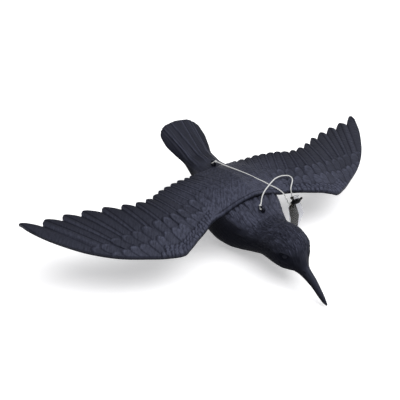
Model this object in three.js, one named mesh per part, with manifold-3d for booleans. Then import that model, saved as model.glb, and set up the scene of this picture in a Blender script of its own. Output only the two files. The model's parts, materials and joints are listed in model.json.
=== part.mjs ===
// Flying crow decoy of black moulded plastic, wings spread, lying on its belly.
// Millimetres, +Z up. The head points to -Y, the tail to +Y and the bird's left wing to +X.
// The origin is on the ground, under the middle of the bird's length and span.

import * as THREE from 'three';
import Module from 'manifold-3d';
import { mergeVertices } from 'three/addons/utils/BufferGeometryUtils.js';

// Pose of the whole bird: its wing plane is pitched nose down, over the ground it lies on.
const PITCH = THREE.MathUtils.degToRad(9.6);
const WING_PLANE_HEIGHT = 69;
const ORIGIN_FROM_RUMP = 68.6;

// Wing panel: one moulded sheet, with a turned-down lip along its front that fades at the tip.
const PANEL_THICKNESS = 2.6;
const LIP_DEPTH = 3.6;
const LIP_WIDTH = 4;
const LIP_FADE = 25;
const LIP_SHARE = 0.3;
const SEAT_GAP = 0.35;
const SEAT_FEATHERS = 5;
const AIR_OVER_SEAT = 80;

// Foot of the panel's front lip, from the middle of the neck to the wing tip: x, y and height.
const FRONT_EDGE = [
  [0, -93, 21], [20, -91.5, 15], [35, -91, 8.5], [50, -91.5, 3.5], [65, -95.5, 3],
  [80, -106, 6], [95, -114, 6.3], [110, -121, 3.5], [119, -123.4, 0], [137, -118.3, -1],
  [158, -108.3, -1.5], [188, -92, -1.5], [215, -70.2, -1.5], [240, -42, -1.2],
  [256, -19.7, -0.5], [267, 0.8, 0], [270, 9, 0.5],
];

// Tips of the flight feathers, from the outermost one inwards, then the rear edge of the saddle.
const FEATHER_TIPS = [
  [270, 11.6], [241.7, 4.3], [218, 2.4], [195.5, -2.4], [171, -9.2], [149.6, -19.2],
  [133, -25.1], [119, -25.4], [108.5, -24.3], [97.5, -18.9], [87.5, -15.9], [76, -13.2],
  [64.5, -10.3], [52.7, -9.2], [43, -7], [33, -4],
];
const SADDLE_REAR = [[17, -5.5], [0, -7.4]];
const DEEPEST_NOTCH = 10.5;
const NOTCH_SHRINK = 0.9;
const SHALLOWEST_NOTCH = 3;
const FREE_EDGE = 0.88;
const FREE_EDGE_BULGE = 1.6;

// Where each feather's line starts on the front edge: the feathers fan out from the wrist.
const FAN_START = [266, 157, 141, 134, 128, 123, 108.5, 97, 87, 77.5, 68, 59, 48.5, 38, 29,
  20.6, 10, 0];

// Height of the rear edge and rise of the panel between its edges, by distance from the middle.
const REAR_HEIGHT = [[0, 6.5], [30, 2.4], [52, 6.2], [108, 8.4], [133, 8.4], [171, 3.2], [218, 0.4],
  [270, 0.8]];
const CAMBER = [[0, 6], [40, 5.5], [80, 6.5], [130, 6], [180, 4], [230, 2], [270, 0.3]];

// Relief of the panel: two rows of coverts end in scalloped ledges over the flight feathers.
const COVERT_ROWS = [{ y: -88, lift: 0.9 }, { y: -67, lift: 0.9 }];
const SCALLOP_DEPTH = 4;
const LEDGE_RUN = 0.015;
const FEATHER_LIFT = [[0, 1.0], [0.14, 1.4], [0.48, 0.5], [FREE_EDGE, 0]];
const FEATHER_COLUMNS = [0, 0.14, 0.48, FREE_EDGE];
const TIP_FEATHER_COLUMNS = [0, 0.05, 0.14, 0.3, 0.48, 0.68, FREE_EDGE];
const UNDERSIDE_ROWS = [0.33, 0.66, 1];

// Body sections from the bill tip to the tail's end: y, top, bottom, level of the widest
// place, half width and squareness (2 is an ellipse).
const BODY_SECTIONS = [
  [-247, -24.1, -25.3, -24.7, 0.7, 2], [-243, -22.6, -26.6, -24.9, 1.4, 2],
  [-235, -19.6, -25.5, -22.4, 2.2, 2], [-219, -12, -21.5, -16.4, 3.5, 2],
  [-203, -5.4, -19.5, -12, 5.3, 2], [-194, 8.8, -18.7, -4.6, 11, 2],
  [-186, 19.9, -21.9, -0.8, 18.4, 2], [-178, 24.2, -25.5, -0.5, 23.3, 2],
  [-162, 25.4, -29.6, -2.1, 26, 2], [-146, 20, -33.9, -6.9, 26, 2],
  [-130, 12, -41, -14.4, 30.4, 2.2], [-113, 10, -48, -19, 36.8, 2.8],
  [-105, 12.5, -51.5, -20, 41, 2.8], [-95, 16, -54.5, -20, 46, 2.6],
  [-80, 20.5, -58.5, -20, 49.5, 2.5], [-60, 20, -61, -20, 50, 2.4],
  [-40, 16.3, -59.5, -20, 46.5, 2.4], [-20, 10.5, -52.5, -19, 39, 2.4],
  [0, 4.2, -42, -17, 28.8, 2.3], [16, 1, -31.5, -14.5, 23.5, 2.3],
  [35, -2.3, -20.5, -12, 22.8, 2.3], [55, 1, -8.5, -8, 28.3, 2.3],
  [76, 5.3, -0.6, -2.7, 32.7, 2.3], [88, 7.8, 3, 1.3, 32.4, 2.3], [97, 9.6, 5.6, 5, 27.5, 2.3],
  [102, 10.8, 7.8, 8.4, 18, 2.3], [104.6, 11.3, 9.4, 10.3, 7, 2.2], [105.3, 11.3, 10.3, 10.8, 1.5, 2],
];
const BODY_STEP = 8;
const BODY_SIDES = 28;
const TAIL_ROOT = 35;
const TAIL_RIDGE = 0.7;
const TAIL_RIDGE_RUN = 20;
const TAIL_END_RUN = 6;

// Eyes, cord lugs and the flat spot that the belly rests on.
const EYE = { x: 18, y: -181, z: 5, radius: 4.4 };
const LUG = { width: 8, height: 8, thickness: 3.6, hole: 1.9, sunk: 3 };
const NAPE_LUG_Y = -110.5;
const RUMP_LUG_Y = 0.5;
const GROUND_BLOCK = { width: 200, length: 300, depth: 40 };

// Cord from the rump lug over the back, round under the knot and back to the nape lug, in the
// bird's own frame.
const CORD_DIAMETER = 1.8;
const CORD_SIDES = 8;
const CORD_STEPS = 64;
const CORD_ROUTE = [
  [0.3, -2.4, 12.4], [3, -10, 13.6], [7, -21, 15], [11.5, -32, 16.6], [16, -43.5, 18.2],
  [20, -55, 19.8], [24.2, -68, 21], [28.6, -74.8, 20.2], [33.2, -80.2, 17.9], [39, -85.6, 15.4],
  [44.7, -90.3, 11.4], [49.2, -93.9, 6.6], [51.6, -96.2, 1.8], [53.6, -98.6, -3],
  [54.9, -99.9, -6.3], [57.6, -101, -7.5], [60.2, -101, -6], [61.3, -100, -2.8], [61, -97.6, 1.8],
  [60.6, -95.4, 6.2], [60.8, -93, 9.9], [62.8, -90.6, 11.8], [66.4, -87.2, 13.4],
  [70.4, -83.2, 14], [72.4, -79, 14.4], [71.4, -74.6, 14.8], [67, -71.8, 15], [60, -70, 15],
  [51, -71.2, 15.6], [43.8, -74.6, 17.2], [38, -78.2, 19.2], [33.4, -81, 20.6],
  [28, -84.4, 21.6], [21.6, -88, 22.4], [16, -91.2, 22], [11.4, -94.2, 20], [7.8, -97.4, 17.4],
  [4.6, -101.2, 15.6], [1.6, -104.4, 15], [0.3, -106, 14.8],
];

// Clear pouch hanging upright from the knot, its folded slip and the tie that gathers it. Each
// ring is its height, its shift across, half width, half thickness and tilt in degrees.
const POUCH_MIDDLE = [63, -34.9];
const POUCH_TURN = THREE.MathUtils.degToRad(-32.6);
const POUCH_SIDES = 12;
const POUCH_WALL = 0.6;
const POUCH_RINGS = [
  [56, -3, 6.4, 2.6, 24], [52, -1.6, 5.4, 2.3, 24], [48.6, -0.4, 4.7, 2, 23],
  [46.6, 0.2, 4.7, 2, 22], [42, 0.1, 8, 2.6, 12], [38, 0.5, 9.2, 3, 6], [30, 2, 9.8, 3.1, 2],
  [20, 1.4, 8, 2.8, 0], [9, 0.9, 7, 2.4, 0], [3, 0.7, 6.6, 1.8, 0], [1.5, 0.7, 5.6, 0.9, 0],
];
const SLIP_RINGS = [
  [42, -2.9, 3.6, 0.8, 8], [38, -2.5, 4.7, 0.9, 4], [34, -1.5, 5.1, 1, 2], [28, -0.1, 5.9, 1, 0],
  [20, 0.5, 5.3, 1, 0], [10, 0.7, 5, 0.9, 0], [4, 0.6, 4.5, 0.6, 0],
];
const TIE_BAND = [[48.4, -0.2, 22], [46.8, 0, 22]];
const TIE_REACH = { halfWidth: 4.7, halfThickness: 2, gap: 0.35, wall: 1 };
const TIE_STUB = [[-6.6, 43.6], [-5.9, 44.6], [-4.9, 45.6]];
const TIE_TAIL = [[4.8, 49.4], [6.6, 51.4], [7.8, 55.4]];
const TIE_SECTION = 1.1;

const BLACK_PLASTIC = { color: 0x24262e, roughness: 0.62, metalness: 0 };
const WHITE_CORD = { color: 0xe4e2dc, roughness: 0.9, metalness: 0 };
const CLEAR_FILM = { color: 0xe8eaee, roughness: 0.15, metalness: 0, transparent: true, opacity: 0.35 };
const FOLDED_SLIP = { color: 0x34332f, roughness: 0.7, metalness: 0 };
const BLACK_TIE = { color: 0x121316, roughness: 0.4, metalness: 0 };

const wasm = await Module();
wasm.setup();

// A smooth curve through a table of points: column 0 against another column.
function through(table, column = 1) {
  const count = table.length;
  const slopes = table.map((row, i) => {
    const before = table[Math.max(i - 1, 0)];
    const after = table[Math.min(i + 1, count - 1)];
    const left = (row[column] - before[column]) / (row[0] - before[0]);
    const right = (after[column] - row[column]) / (after[0] - row[0]);
    if (i === 0) return right;
    if (i === count - 1) return left;
    return left * right <= 0 ? 0 : (2 * left * right) / (left + right);
  });
  return (at) => {
    let i = 0;
    while (i < count - 2 && at > table[i + 1][0]) i += 1;
    const span = table[i + 1][0] - table[i][0];
    const u = THREE.MathUtils.clamp((at - table[i][0]) / span, 0, 1);
    const start = table[i][column];
    const end = table[i + 1][column];
    const ease = u * u * (3 - 2 * u);
    const bendIn = u * (1 - u) * (1 - u) * span * slopes[i];
    const bendOut = u * u * (1 - u) * span * slopes[i + 1];
    return start + (end - start) * ease + bendIn - bendOut;
  };
}

const frontY = through(FRONT_EDGE, 1);
const lipFoot = through(FRONT_EDGE, 2);
const featherLift = through(FEATHER_LIFT);
const rearZ = through(REAR_HEIGHT);
const camber = through(CAMBER);
const LAST_FEATHER = FEATHER_TIPS.length;
const MIDDLE = FAN_START.length - 1;
const rearPoints = [...FEATHER_TIPS, ...SADDLE_REAR];

function lipDepth(x) {
  const fromTip = FRONT_EDGE.at(-1)[0] - x;
  return THREE.MathUtils.lerp(PANEL_THICKNESS, LIP_DEPTH, THREE.MathUtils.smoothstep(fromTip, 0, LIP_FADE));
}

// The fan coordinate runs from 0 at the wing tip to MIDDLE on the bird's midline. Each whole
// number is the outer edge of one feather.
function frontPoint(fan) {
  const whole = Math.min(Math.floor(fan), MIDDLE - 1);
  const x = THREE.MathUtils.lerp(FAN_START[whole], FAN_START[whole + 1], fan - whole);
  return [x, frontY(x), lipFoot(x) + lipDepth(x)];
}

// The rear edge: each feather's free edge runs from its tip in to a notch, and from there the
// next feather's outer edge steps back out.
function rearPoint(fan) {
  const whole = Math.min(Math.floor(fan), MIDDLE - 1);
  const part = fan - whole;
  const tip = rearPoints[whole];
  const next = rearPoints[whole + 1];
  let x = THREE.MathUtils.lerp(tip[0], next[0], part);
  let y = THREE.MathUtils.lerp(tip[1], next[1], part);
  if (whole < LAST_FEATHER - 1) {
    const depth = Math.max(SHALLOWEST_NOTCH, DEEPEST_NOTCH - NOTCH_SHRINK * whole);
    const notch = [next[0] + (tip[0] - next[0]) * (1 - FREE_EDGE), next[1] - depth];
    const along = part / FREE_EDGE;
    if (part <= FREE_EDGE) {
      x = THREE.MathUtils.lerp(tip[0], notch[0], along);
      y = THREE.MathUtils.lerp(tip[1], notch[1], along) + FREE_EDGE_BULGE * 4 * along * (1 - along);
    } else {
      const step = (part - FREE_EDGE) / (1 - FREE_EDGE);
      x = THREE.MathUtils.lerp(notch[0], next[0], step);
      y = THREE.MathUtils.lerp(notch[1], next[1], step);
    }
  }
  return [x, y, rearZ(x)];
}

// A point of the panel's plain upper surface: along runs from the front edge (0) to the rear (1).
function panelPoint(fan, along) {
  const front = frontPoint(fan);
  const rear = rearPoint(fan);
  const x = THREE.MathUtils.lerp(front[0], rear[0], along);
  const y = THREE.MathUtils.lerp(front[1], rear[1], along);
  const rise = camber(x) * 4 * along * (1 - along);
  return [x, y, THREE.MathUtils.lerp(front[2], rear[2], along) + rise];
}

// A closed solid between an upper and a lower sheet of points, both in columns across the span.
function sheetSolid(upper, lower) {
  const positions = [];
  const indices = [];
  const place = (columns) => columns.map((column) => column.map((point) => {
    positions.push(...point);
    return positions.length / 3 - 1;
  }));
  const top = place(upper);
  const bottom = place(lower);
  const quad = (a, b, c, d) => indices.push(a, b, c, a, c, d);
  const lastColumn = top.length - 1;
  for (let i = 0; i < lastColumn; i += 1) {
    for (let j = 0; j < top[i].length - 1; j += 1) {
      quad(top[i][j], top[i][j + 1], top[i + 1][j + 1], top[i + 1][j]);
    }
    for (let j = 0; j < bottom[i].length - 1; j += 1) {
      quad(bottom[i][j], bottom[i + 1][j], bottom[i + 1][j + 1], bottom[i][j + 1]);
    }
    quad(top[i][0], top[i + 1][0], bottom[i + 1][0], bottom[i][0]);
    quad(top[i].at(-1), bottom[i].at(-1), bottom[i + 1].at(-1), top[i + 1].at(-1));
  }
  closeEnd(indices, top[0], bottom[0], false);
  closeEnd(indices, top[lastColumn], bottom[lastColumn], true);
  const geometry = new THREE.BufferGeometry();
  geometry.setAttribute('position', new THREE.Float32BufferAttribute(positions, 3));
  geometry.setIndex(indices);
  return geometry;
}

// Joins the end columns of the two sheets, which may hold different numbers of points.
function closeEnd(indices, top, bottom, flip) {
  let i = 0;
  let j = 0;
  const add = (a, b, c) => indices.push(...(flip ? [a, c, b] : [a, b, c]));
  while (i < top.length - 1 || j < bottom.length - 1) {
    const topNext = i < top.length - 1 && (i + 1) * (bottom.length - 1) <= (j + 1) * (top.length - 1);
    if (topNext) {
      add(top[i], bottom[j], top[i + 1]);
      i += 1;
    } else {
      add(top[i], bottom[j], bottom[j + 1]);
      j += 1;
    }
  }
}

// The fan values of the panel's columns, out along one wing: four to each feather.
function fanColumns() {
  const columns = [];
  for (let feather = 0; feather < LAST_FEATHER - 1; feather += 1) {
    const places = feather === 0 ? TIP_FEATHER_COLUMNS : FEATHER_COLUMNS;
    places.forEach((at) => columns.push({ fan: feather + at, lift: featherLift(at), at }));
  }
  for (let fan = LAST_FEATHER - 1; fan <= MIDDLE; fan += 0.5) {
    columns.push({ fan, lift: 0, at: 0 });
  }
  return columns;
}

// Rows of the upper surface along one column, with the covert ledges and the feather's lift.
function upperColumn({ fan, lift, at }, side) {
  const front = frontPoint(fan);
  const rear = rearPoint(fan);
  const length = rear[1] - front[1];
  const roundness = fan < LAST_FEATHER ? Math.sin(Math.PI * Math.min(at / FREE_EDGE, 1)) : 0;
  const scallop = SCALLOP_DEPTH * roundness;
  const lip = Math.min(LIP_WIDTH / length, LIP_SHARE);
  const rows = [{ along: 0, lift: 0 }];
  let height = COVERT_ROWS.reduce((sum, row) => sum + row.lift, 0);
  let last = lip;
  rows.push({ along: lip, lift: height });
  COVERT_ROWS.forEach((row, i) => {
    const wanted = (row.y + scallop - front[1]) / length;
    const ledge = THREE.MathUtils.clamp(wanted, last + 0.05, 0.6 + 0.15 * i);
    rows.push({ along: ledge, lift: height });
    height -= row.lift;
    rows.push({ along: ledge + LEDGE_RUN, lift: height + (height < 0.1 ? lift : 0) });
    last = ledge + LEDGE_RUN;
  });
  rows.push({ along: THREE.MathUtils.lerp(last, 1, 0.4), lift }, { along: 1, lift });
  return rows.map((row) => {
    const [x, y, z] = panelPoint(fan, row.along);
    return [side * x, y, z + row.lift];
  });
}

// Rows of the underside along one column: plain, with the lip turned down along the front.
function lowerColumn({ fan }, side, drop = 0) {
  const length = rearPoint(fan)[1] - frontPoint(fan)[1];
  const lip = Math.min(LIP_WIDTH / length, LIP_SHARE);
  return [0, lip, ...UNDERSIDE_ROWS].map((along, row) => {
    const [x, y, z] = panelPoint(fan, along);
    return [side * x, y, z - (row === 0 ? lipDepth(x) : PANEL_THICKNESS) - drop];
  });
}

// Builds columns for both wings, from the left wing's tip to the right wing's.
function acrossSpan(columns, makeColumn) {
  const left = columns.map((column) => makeColumn(column, 1));
  const right = columns.slice(0, -1).reverse().map((column) => makeColumn(column, -1));
  return [...left, ...right];
}

function wingPanel() {
  const columns = fanColumns();
  return sheetSolid(acrossSpan(columns, upperColumn), acrossSpan(columns, lowerColumn));
}

// The space that the panel and the air above it take out of the body, so that the body seats it.
function seatCutter() {
  const columns = fanColumns().filter(({ fan }) => fan >= LAST_FEATHER - SEAT_FEATHERS);
  const stretch = ([front, ...rest]) => {
    const rear = rest.at(-1);
    return [[front[0], front[1] - SEAT_GAP, front[2]], ...rest, [rear[0], rear[1] + SEAT_GAP, rear[2]]];
  };
  const under = acrossSpan(columns, (column, side) => stretch(lowerColumn(column, side, SEAT_GAP)));
  const over = under.map((column) => column.map(([x, y, z]) => [x, y, z + AIR_OVER_SEAT]));
  return sheetSolid(over, under);
}

// One closed ring of the body at a place along it. Ridges run down the tail as its feathers do.
const bodyTop = through(BODY_SECTIONS, 1);
const bodyBottom = through(BODY_SECTIONS, 2);
const bodySide = through(BODY_SECTIONS, 3);
const bodyHalf = through(BODY_SECTIONS, 4);
const bodySquare = through(BODY_SECTIONS, 5);

function bodyRing(y) {
  const ring = [];
  const power = 2 / bodySquare(y);
  const tailness = THREE.MathUtils.smoothstep(y, TAIL_ROOT, TAIL_ROOT + TAIL_RIDGE_RUN)
    * THREE.MathUtils.smoothstep(BODY_SECTIONS.at(-1)[0] - y, 0, TAIL_END_RUN);
  for (let i = 0; i < BODY_SIDES; i += 1) {
    const angle = (2 * Math.PI * i) / BODY_SIDES;
    const across = Math.cos(angle);
    const up = Math.sin(angle);
    const x = bodyHalf(y) * Math.sign(across) * Math.abs(across) ** power;
    const reach = Math.abs(up) ** power;
    const edge = up > 0 ? bodyTop(y) : bodyBottom(y);
    const ridge = up > 0.1 ? TAIL_RIDGE * tailness * (i % 2 === 0 ? 1 : -1) : 0;
    ring.push([x, y, THREE.MathUtils.lerp(bodySide(y), edge, reach) + ridge]);
  }
  return ring;
}

// A closed solid through rings of equal size, with a flat fan at each end.
function ringSolid(rings) {
  const positions = rings.flat(2);
  const indices = [];
  const sides = rings[0].length;
  for (let r = 0; r < rings.length - 1; r += 1) {
    for (let i = 0; i < sides; i += 1) {
      const a = r * sides + i;
      const b = r * sides + ((i + 1) % sides);
      indices.push(a, b + sides, b, a, a + sides, b + sides);
    }
  }
  const start = positions.length / 3;
  const middle = (ring) => [0, 1, 2].map((k) => ring.reduce((sum, p) => sum + p[k], 0) / sides);
  positions.push(...middle(rings[0]), ...middle(rings.at(-1)));
  const lastRing = (rings.length - 1) * sides;
  for (let i = 0; i < sides; i += 1) {
    const j = (i + 1) % sides;
    indices.push(start, i, j, start + 1, lastRing + j, lastRing + i);
  }
  const geometry = new THREE.BufferGeometry();
  geometry.setAttribute('position', new THREE.Float32BufferAttribute(positions, 3));
  geometry.setIndex(indices);
  return geometry;
}

// Places along the body: every section, and the stretches between them in steps.
function bodyPlaces() {
  const places = [];
  BODY_SECTIONS.slice(0, -1).forEach(([y], i) => {
    const span = BODY_SECTIONS[i + 1][0] - y;
    const steps = Math.max(1, Math.round(span / BODY_STEP));
    for (let k = 0; k < steps; k += 1) places.push(y + (span * k) / steps);
  });
  places.push(BODY_SECTIONS.at(-1)[0]);
  return places;
}

// Turns a three.js geometry into a solid for cutting and joining, and back.
function toSolid(geometry) {
  const bare = geometry.clone();
  bare.deleteAttribute('normal');
  bare.deleteAttribute('uv');
  const merged = mergeVertices(bare, 1e-4);
  return new wasm.Manifold(new wasm.Mesh({
    numProp: 3,
    vertProperties: new Float32Array(merged.attributes.position.array),
    triVerts: new Uint32Array(merged.index.array),
  }));
}

function toGeometry(solid) {
  const mesh = solid.getMesh();
  const geometry = new THREE.BufferGeometry();
  geometry.setAttribute('position', new THREE.BufferAttribute(mesh.vertProperties, 3));
  geometry.setIndex(new THREE.BufferAttribute(mesh.triVerts, 1));
  geometry.computeVertexNormals();
  return geometry;
}

// A small upright tab with a round top and a hole across it for the cord.
function lugAt(y, surface) {
  const half = LUG.width / 2;
  const outline = new THREE.Shape();
  outline.moveTo(-half, -LUG.sunk);
  outline.lineTo(half, -LUG.sunk);
  outline.lineTo(half, LUG.height - half);
  outline.absarc(0, LUG.height - half, half, 0, Math.PI, false);
  const hole = new THREE.Path();
  hole.absarc(0, LUG.height - half, LUG.hole, 0, 2 * Math.PI, true);
  outline.holes.push(hole);
  const tab = new THREE.ExtrudeGeometry(outline, {
    depth: LUG.thickness, bevelEnabled: false, curveSegments: 6,
  });
  tab.translate(0, 0, -LUG.thickness / 2);
  tab.rotateX(Math.PI / 2);
  tab.rotateZ(Math.PI / 2);
  tab.translate(0, y, surface);
  return toSolid(tab);
}

// The bird's own frame, with the wing plane level, is pitched and raised to where it lies.
const bird = new THREE.Group();
bird.rotation.x = PITCH;
bird.position.set(0, ORIGIN_FROM_RUMP, WING_PLANE_HEIGHT);
bird.updateMatrix();

function crowBody() {
  let solid = toSolid(ringSolid(bodyPlaces().map(bodyRing)));
  [-1, 1].forEach((side) => {
    const eye = new THREE.SphereGeometry(EYE.radius, 12, 8);
    eye.translate(side * EYE.x, EYE.y, EYE.z);
    solid = solid.add(toSolid(eye));
  });
  solid = solid.subtract(toSolid(seatCutter()));
  solid = solid.add(lugAt(NAPE_LUG_Y, bodyTop(NAPE_LUG_Y)));
  solid = solid.add(lugAt(RUMP_LUG_Y, bodyTop(RUMP_LUG_Y)));
  const ground = new THREE.BoxGeometry(GROUND_BLOCK.width, GROUND_BLOCK.length, GROUND_BLOCK.depth);
  ground.translate(0, 0, -GROUND_BLOCK.depth / 2);
  ground.applyMatrix4(bird.matrix.clone().invert());
  return toGeometry(solid.subtract(toSolid(ground)));
}

// A bar of one section along a smooth path through the given points.
function barAlong(points, section, steps) {
  const path = new THREE.CatmullRomCurve3(points.map((point) => new THREE.Vector3(...point)));
  return new THREE.ExtrudeGeometry(section, { steps, extrudePath: path, curveSegments: 1 });
}

function cord() {
  const section = new THREE.Shape();
  for (let i = 0; i < CORD_SIDES; i += 1) {
    const angle = (2 * Math.PI * i) / CORD_SIDES;
    const corner = [Math.cos(angle), Math.sin(angle)].map((v) => (v * CORD_DIAMETER) / 2);
    if (i === 0) section.moveTo(...corner);
    else section.lineTo(...corner);
  }
  return barAlong(CORD_ROUTE, section, CORD_STEPS);
}

// A place beside the pouch's middle line: across its width, through its thickness, and up.
function besidePouch(across, deep, height) {
  const cos = Math.cos(POUCH_TURN);
  const sin = Math.sin(POUCH_TURN);
  const [x, y] = POUCH_MIDDLE;
  return [x + across * cos - deep * sin, y + across * sin + deep * cos, height];
}

function pouchRing([height, shift, halfWidth, halfThickness, tilt]) {
  const lean = THREE.MathUtils.degToRad(tilt);
  const ring = [];
  for (let i = 0; i < POUCH_SIDES; i += 1) {
    const angle = (2 * Math.PI * i) / POUCH_SIDES;
    const across = halfWidth * Math.cos(angle);
    const up = across * Math.sin(lean);
    ring.push(besidePouch(shift + across * Math.cos(lean), halfThickness * Math.sin(angle), height + up));
  }
  return ring;
}

// The pouch is hollow and open at its gathered mouth, over the tie.
function pouch() {
  const outside = toSolid(ringSolid(POUCH_RINGS.map(pouchRing)));
  const hollow = POUCH_RINGS.slice(0, -1).map(([height, shift, width, thickness, tilt], i) => {
    const reach = i === 0 ? POUCH_WALL : 0;
    return pouchRing([height + reach, shift, width - POUCH_WALL, thickness - POUCH_WALL, tilt]);
  });
  return toGeometry(outside.subtract(toSolid(ringSolid(hollow))));
}

function pouchTie() {
  const band = (margin, reach) => toSolid(ringSolid(TIE_BAND.map(([height, shift, tilt], i) => {
    const { halfWidth, halfThickness } = TIE_REACH;
    const level = height + (i === 0 ? reach : -reach);
    return pouchRing([level, shift, halfWidth + margin, halfThickness + margin, tilt]);
  })));
  const section = new THREE.Shape();
  const half = TIE_SECTION / 2;
  section.moveTo(-half, -half).lineTo(half, -half).lineTo(half, half).lineTo(-half, half);
  const strand = (route) => {
    const points = route.map(([across, height]) => besidePouch(across, 0, height));
    return toSolid(barAlong(points, section, TIE_STUB.length));
  };
  const full = band(TIE_REACH.gap + TIE_REACH.wall, 0).add(strand(TIE_STUB)).add(strand(TIE_TAIL));
  return toGeometry(full.subtract(band(TIE_REACH.gap, 1)));
}

function addPiece(parent, name, geometry, finish) {
  const mesh = new THREE.Mesh(geometry, new THREE.MeshStandardMaterial(finish));
  mesh.name = name;
  parent.add(mesh);
}

addPiece(bird, 'body', crowBody(), BLACK_PLASTIC);
addPiece(bird, 'wing_panel', wingPanel(), BLACK_PLASTIC);
addPiece(bird, 'cord', cord(), WHITE_CORD);

const crow = new THREE.Group();
crow.add(bird);
addPiece(crow, 'pouch', pouch(), CLEAR_FILM);
addPiece(crow, 'pouch_slip', ringSolid(SLIP_RINGS.map(pouchRing)), FOLDED_SLIP);
addPiece(crow, 'pouch_tie', pouchTie(), BLACK_TIE);

export default crow;
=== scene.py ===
# %% [markdown]
# A flying crow decoy of black moulded plastic lies on its belly with its wings spread. A thin
# white cord is tied to two lugs on its back, and a small clear pouch hangs from the cord's knot.
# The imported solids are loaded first. They are the frame that everything else is fitted to.

import json
import math

import bpy
import numpy as np
from mathutils import Matrix, Vector
from mathutils.bvhtree import BVHTree

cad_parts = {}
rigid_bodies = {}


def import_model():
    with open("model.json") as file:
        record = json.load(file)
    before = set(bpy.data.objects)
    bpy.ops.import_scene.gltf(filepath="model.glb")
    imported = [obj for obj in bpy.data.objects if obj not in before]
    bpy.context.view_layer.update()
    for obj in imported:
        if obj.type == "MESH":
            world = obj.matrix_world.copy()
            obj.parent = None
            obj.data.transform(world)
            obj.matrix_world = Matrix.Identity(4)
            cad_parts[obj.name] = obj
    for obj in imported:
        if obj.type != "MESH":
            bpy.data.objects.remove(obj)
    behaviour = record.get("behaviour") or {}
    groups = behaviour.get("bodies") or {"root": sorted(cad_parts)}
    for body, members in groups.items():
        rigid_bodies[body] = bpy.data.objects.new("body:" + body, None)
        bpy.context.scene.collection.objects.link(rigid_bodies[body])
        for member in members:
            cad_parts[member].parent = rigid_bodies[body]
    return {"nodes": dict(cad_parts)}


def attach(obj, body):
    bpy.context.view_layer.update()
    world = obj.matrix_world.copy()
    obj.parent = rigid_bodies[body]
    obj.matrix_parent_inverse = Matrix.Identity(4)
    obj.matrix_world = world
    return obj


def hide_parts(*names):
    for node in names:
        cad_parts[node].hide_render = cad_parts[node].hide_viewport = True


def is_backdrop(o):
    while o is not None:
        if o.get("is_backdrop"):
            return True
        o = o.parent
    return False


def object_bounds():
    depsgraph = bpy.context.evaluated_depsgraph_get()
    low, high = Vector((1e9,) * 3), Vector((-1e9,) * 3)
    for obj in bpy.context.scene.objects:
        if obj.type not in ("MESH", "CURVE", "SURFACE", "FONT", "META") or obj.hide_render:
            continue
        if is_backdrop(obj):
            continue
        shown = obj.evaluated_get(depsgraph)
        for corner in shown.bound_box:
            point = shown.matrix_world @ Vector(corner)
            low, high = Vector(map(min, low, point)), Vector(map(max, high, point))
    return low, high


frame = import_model()
CAD_BOX = [list(corner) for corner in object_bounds()]
SEED = 7
print("solids:", sorted(frame["nodes"]), "box:", np.round(CAD_BOX, 4).tolist())

# %% [markdown]
# The camera stands where the photograph was taken: high in front of the right wing, close enough
# for the near wing to look longer than the far one. A 54 mm lens gives the frame of the picture.

# %% Camera
CAMERA_PLACE = (-0.3982, -0.5207, 0.4918)
CAMERA_RIGHT = (0.84259, -0.53856, 0.0)
CAMERA_UP = (0.29978, 0.46924, 0.83063)
CAMERA_BACK = (-0.44741, -0.69984, 0.55683)
LENS_MM = 54.0
SENSOR_MM = 36.0
CLIP_RANGE = (0.01, 30.0)

camera_data = bpy.data.cameras.new("camera")
camera_data.lens = LENS_MM
camera_data.sensor_width = SENSOR_MM
camera_data.clip_start = CLIP_RANGE[0]
camera_data.clip_end = CLIP_RANGE[1]
camera = bpy.data.objects.new("camera", camera_data)
bpy.context.scene.collection.objects.link(camera)
turn = Matrix((CAMERA_RIGHT, CAMERA_UP, CAMERA_BACK)).transposed().to_4x4()
camera.matrix_world = Matrix.Translation(CAMERA_PLACE) @ turn
bpy.context.scene.camera = camera
print("camera at", CAMERA_PLACE, "lens", LENS_MM)

# %% [markdown]
# The bird was modelled with its wings level and then laid down, pitched nose down. All its
# shapes are written in that level frame, in millimetres, as x to its left wing, y to its tail and
# z up. One function carries points from there to the scene, in metres. An object's rotation could
# do it too, but pieces whose points are already in place can all be joined, seated and measured.

# %% From the bird's own frame to the scene
MM = 0.001
PITCH = math.radians(9.6)
WING_PLANE_HEIGHT = 69.0
ORIGIN_FROM_RUMP = 68.6


def to_scene(points):
    """Points of the level bird in millimetres, as scene points in metres."""
    x, y, z = np.moveaxis(np.asarray(points, float), -1, 0)
    cos = math.cos(PITCH)
    sin = math.sin(PITCH)
    placed = [x, y * cos - z * sin + ORIGIN_FROM_RUMP, y * sin + z * cos + WING_PLANE_HEIGHT]
    return np.stack(placed, -1) * MM


print("wing plane over the rump:", to_scene([0, 0, 0]).round(4).tolist())

# %% [markdown]
# Most of the bird is described by short tables, such as the height of the back at a few places
# along it. A smooth curve through a table, without overshoot, gives the values in between. A
# Bezier curve object could hold the same line, but a function can be asked at any place at once.

# %% Smooth curves through tables


def through(table, column=1):
    """A smooth curve of one column of a table against its first column."""
    rows = np.asarray(table, float)
    at = rows[:, 0]
    value = rows[:, column]
    slope = np.diff(value) / np.diff(at)
    product = slope[:-1] * slope[1:]
    total = slope[:-1] + slope[1:]
    middle = np.where(product > 0, 2 * product / np.where(total == 0, 1, total), 0)
    slopes = np.concatenate([slope[:1], middle, slope[-1:]])

    def curve(place):
        place = np.asarray(place, float)
        i = np.clip(np.searchsorted(at, place, side="left") - 1, 0, len(at) - 2)
        span = at[i + 1] - at[i]
        u = np.clip((place - at[i]) / span, 0, 1)
        ease = u * u * (3 - 2 * u)
        bend_in = u * (1 - u) ** 2 * span * slopes[i]
        bend_out = u * u * (1 - u) * span * slopes[i + 1]
        return value[i] + (value[i + 1] - value[i]) * ease + bend_in - bend_out

    return curve


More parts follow.
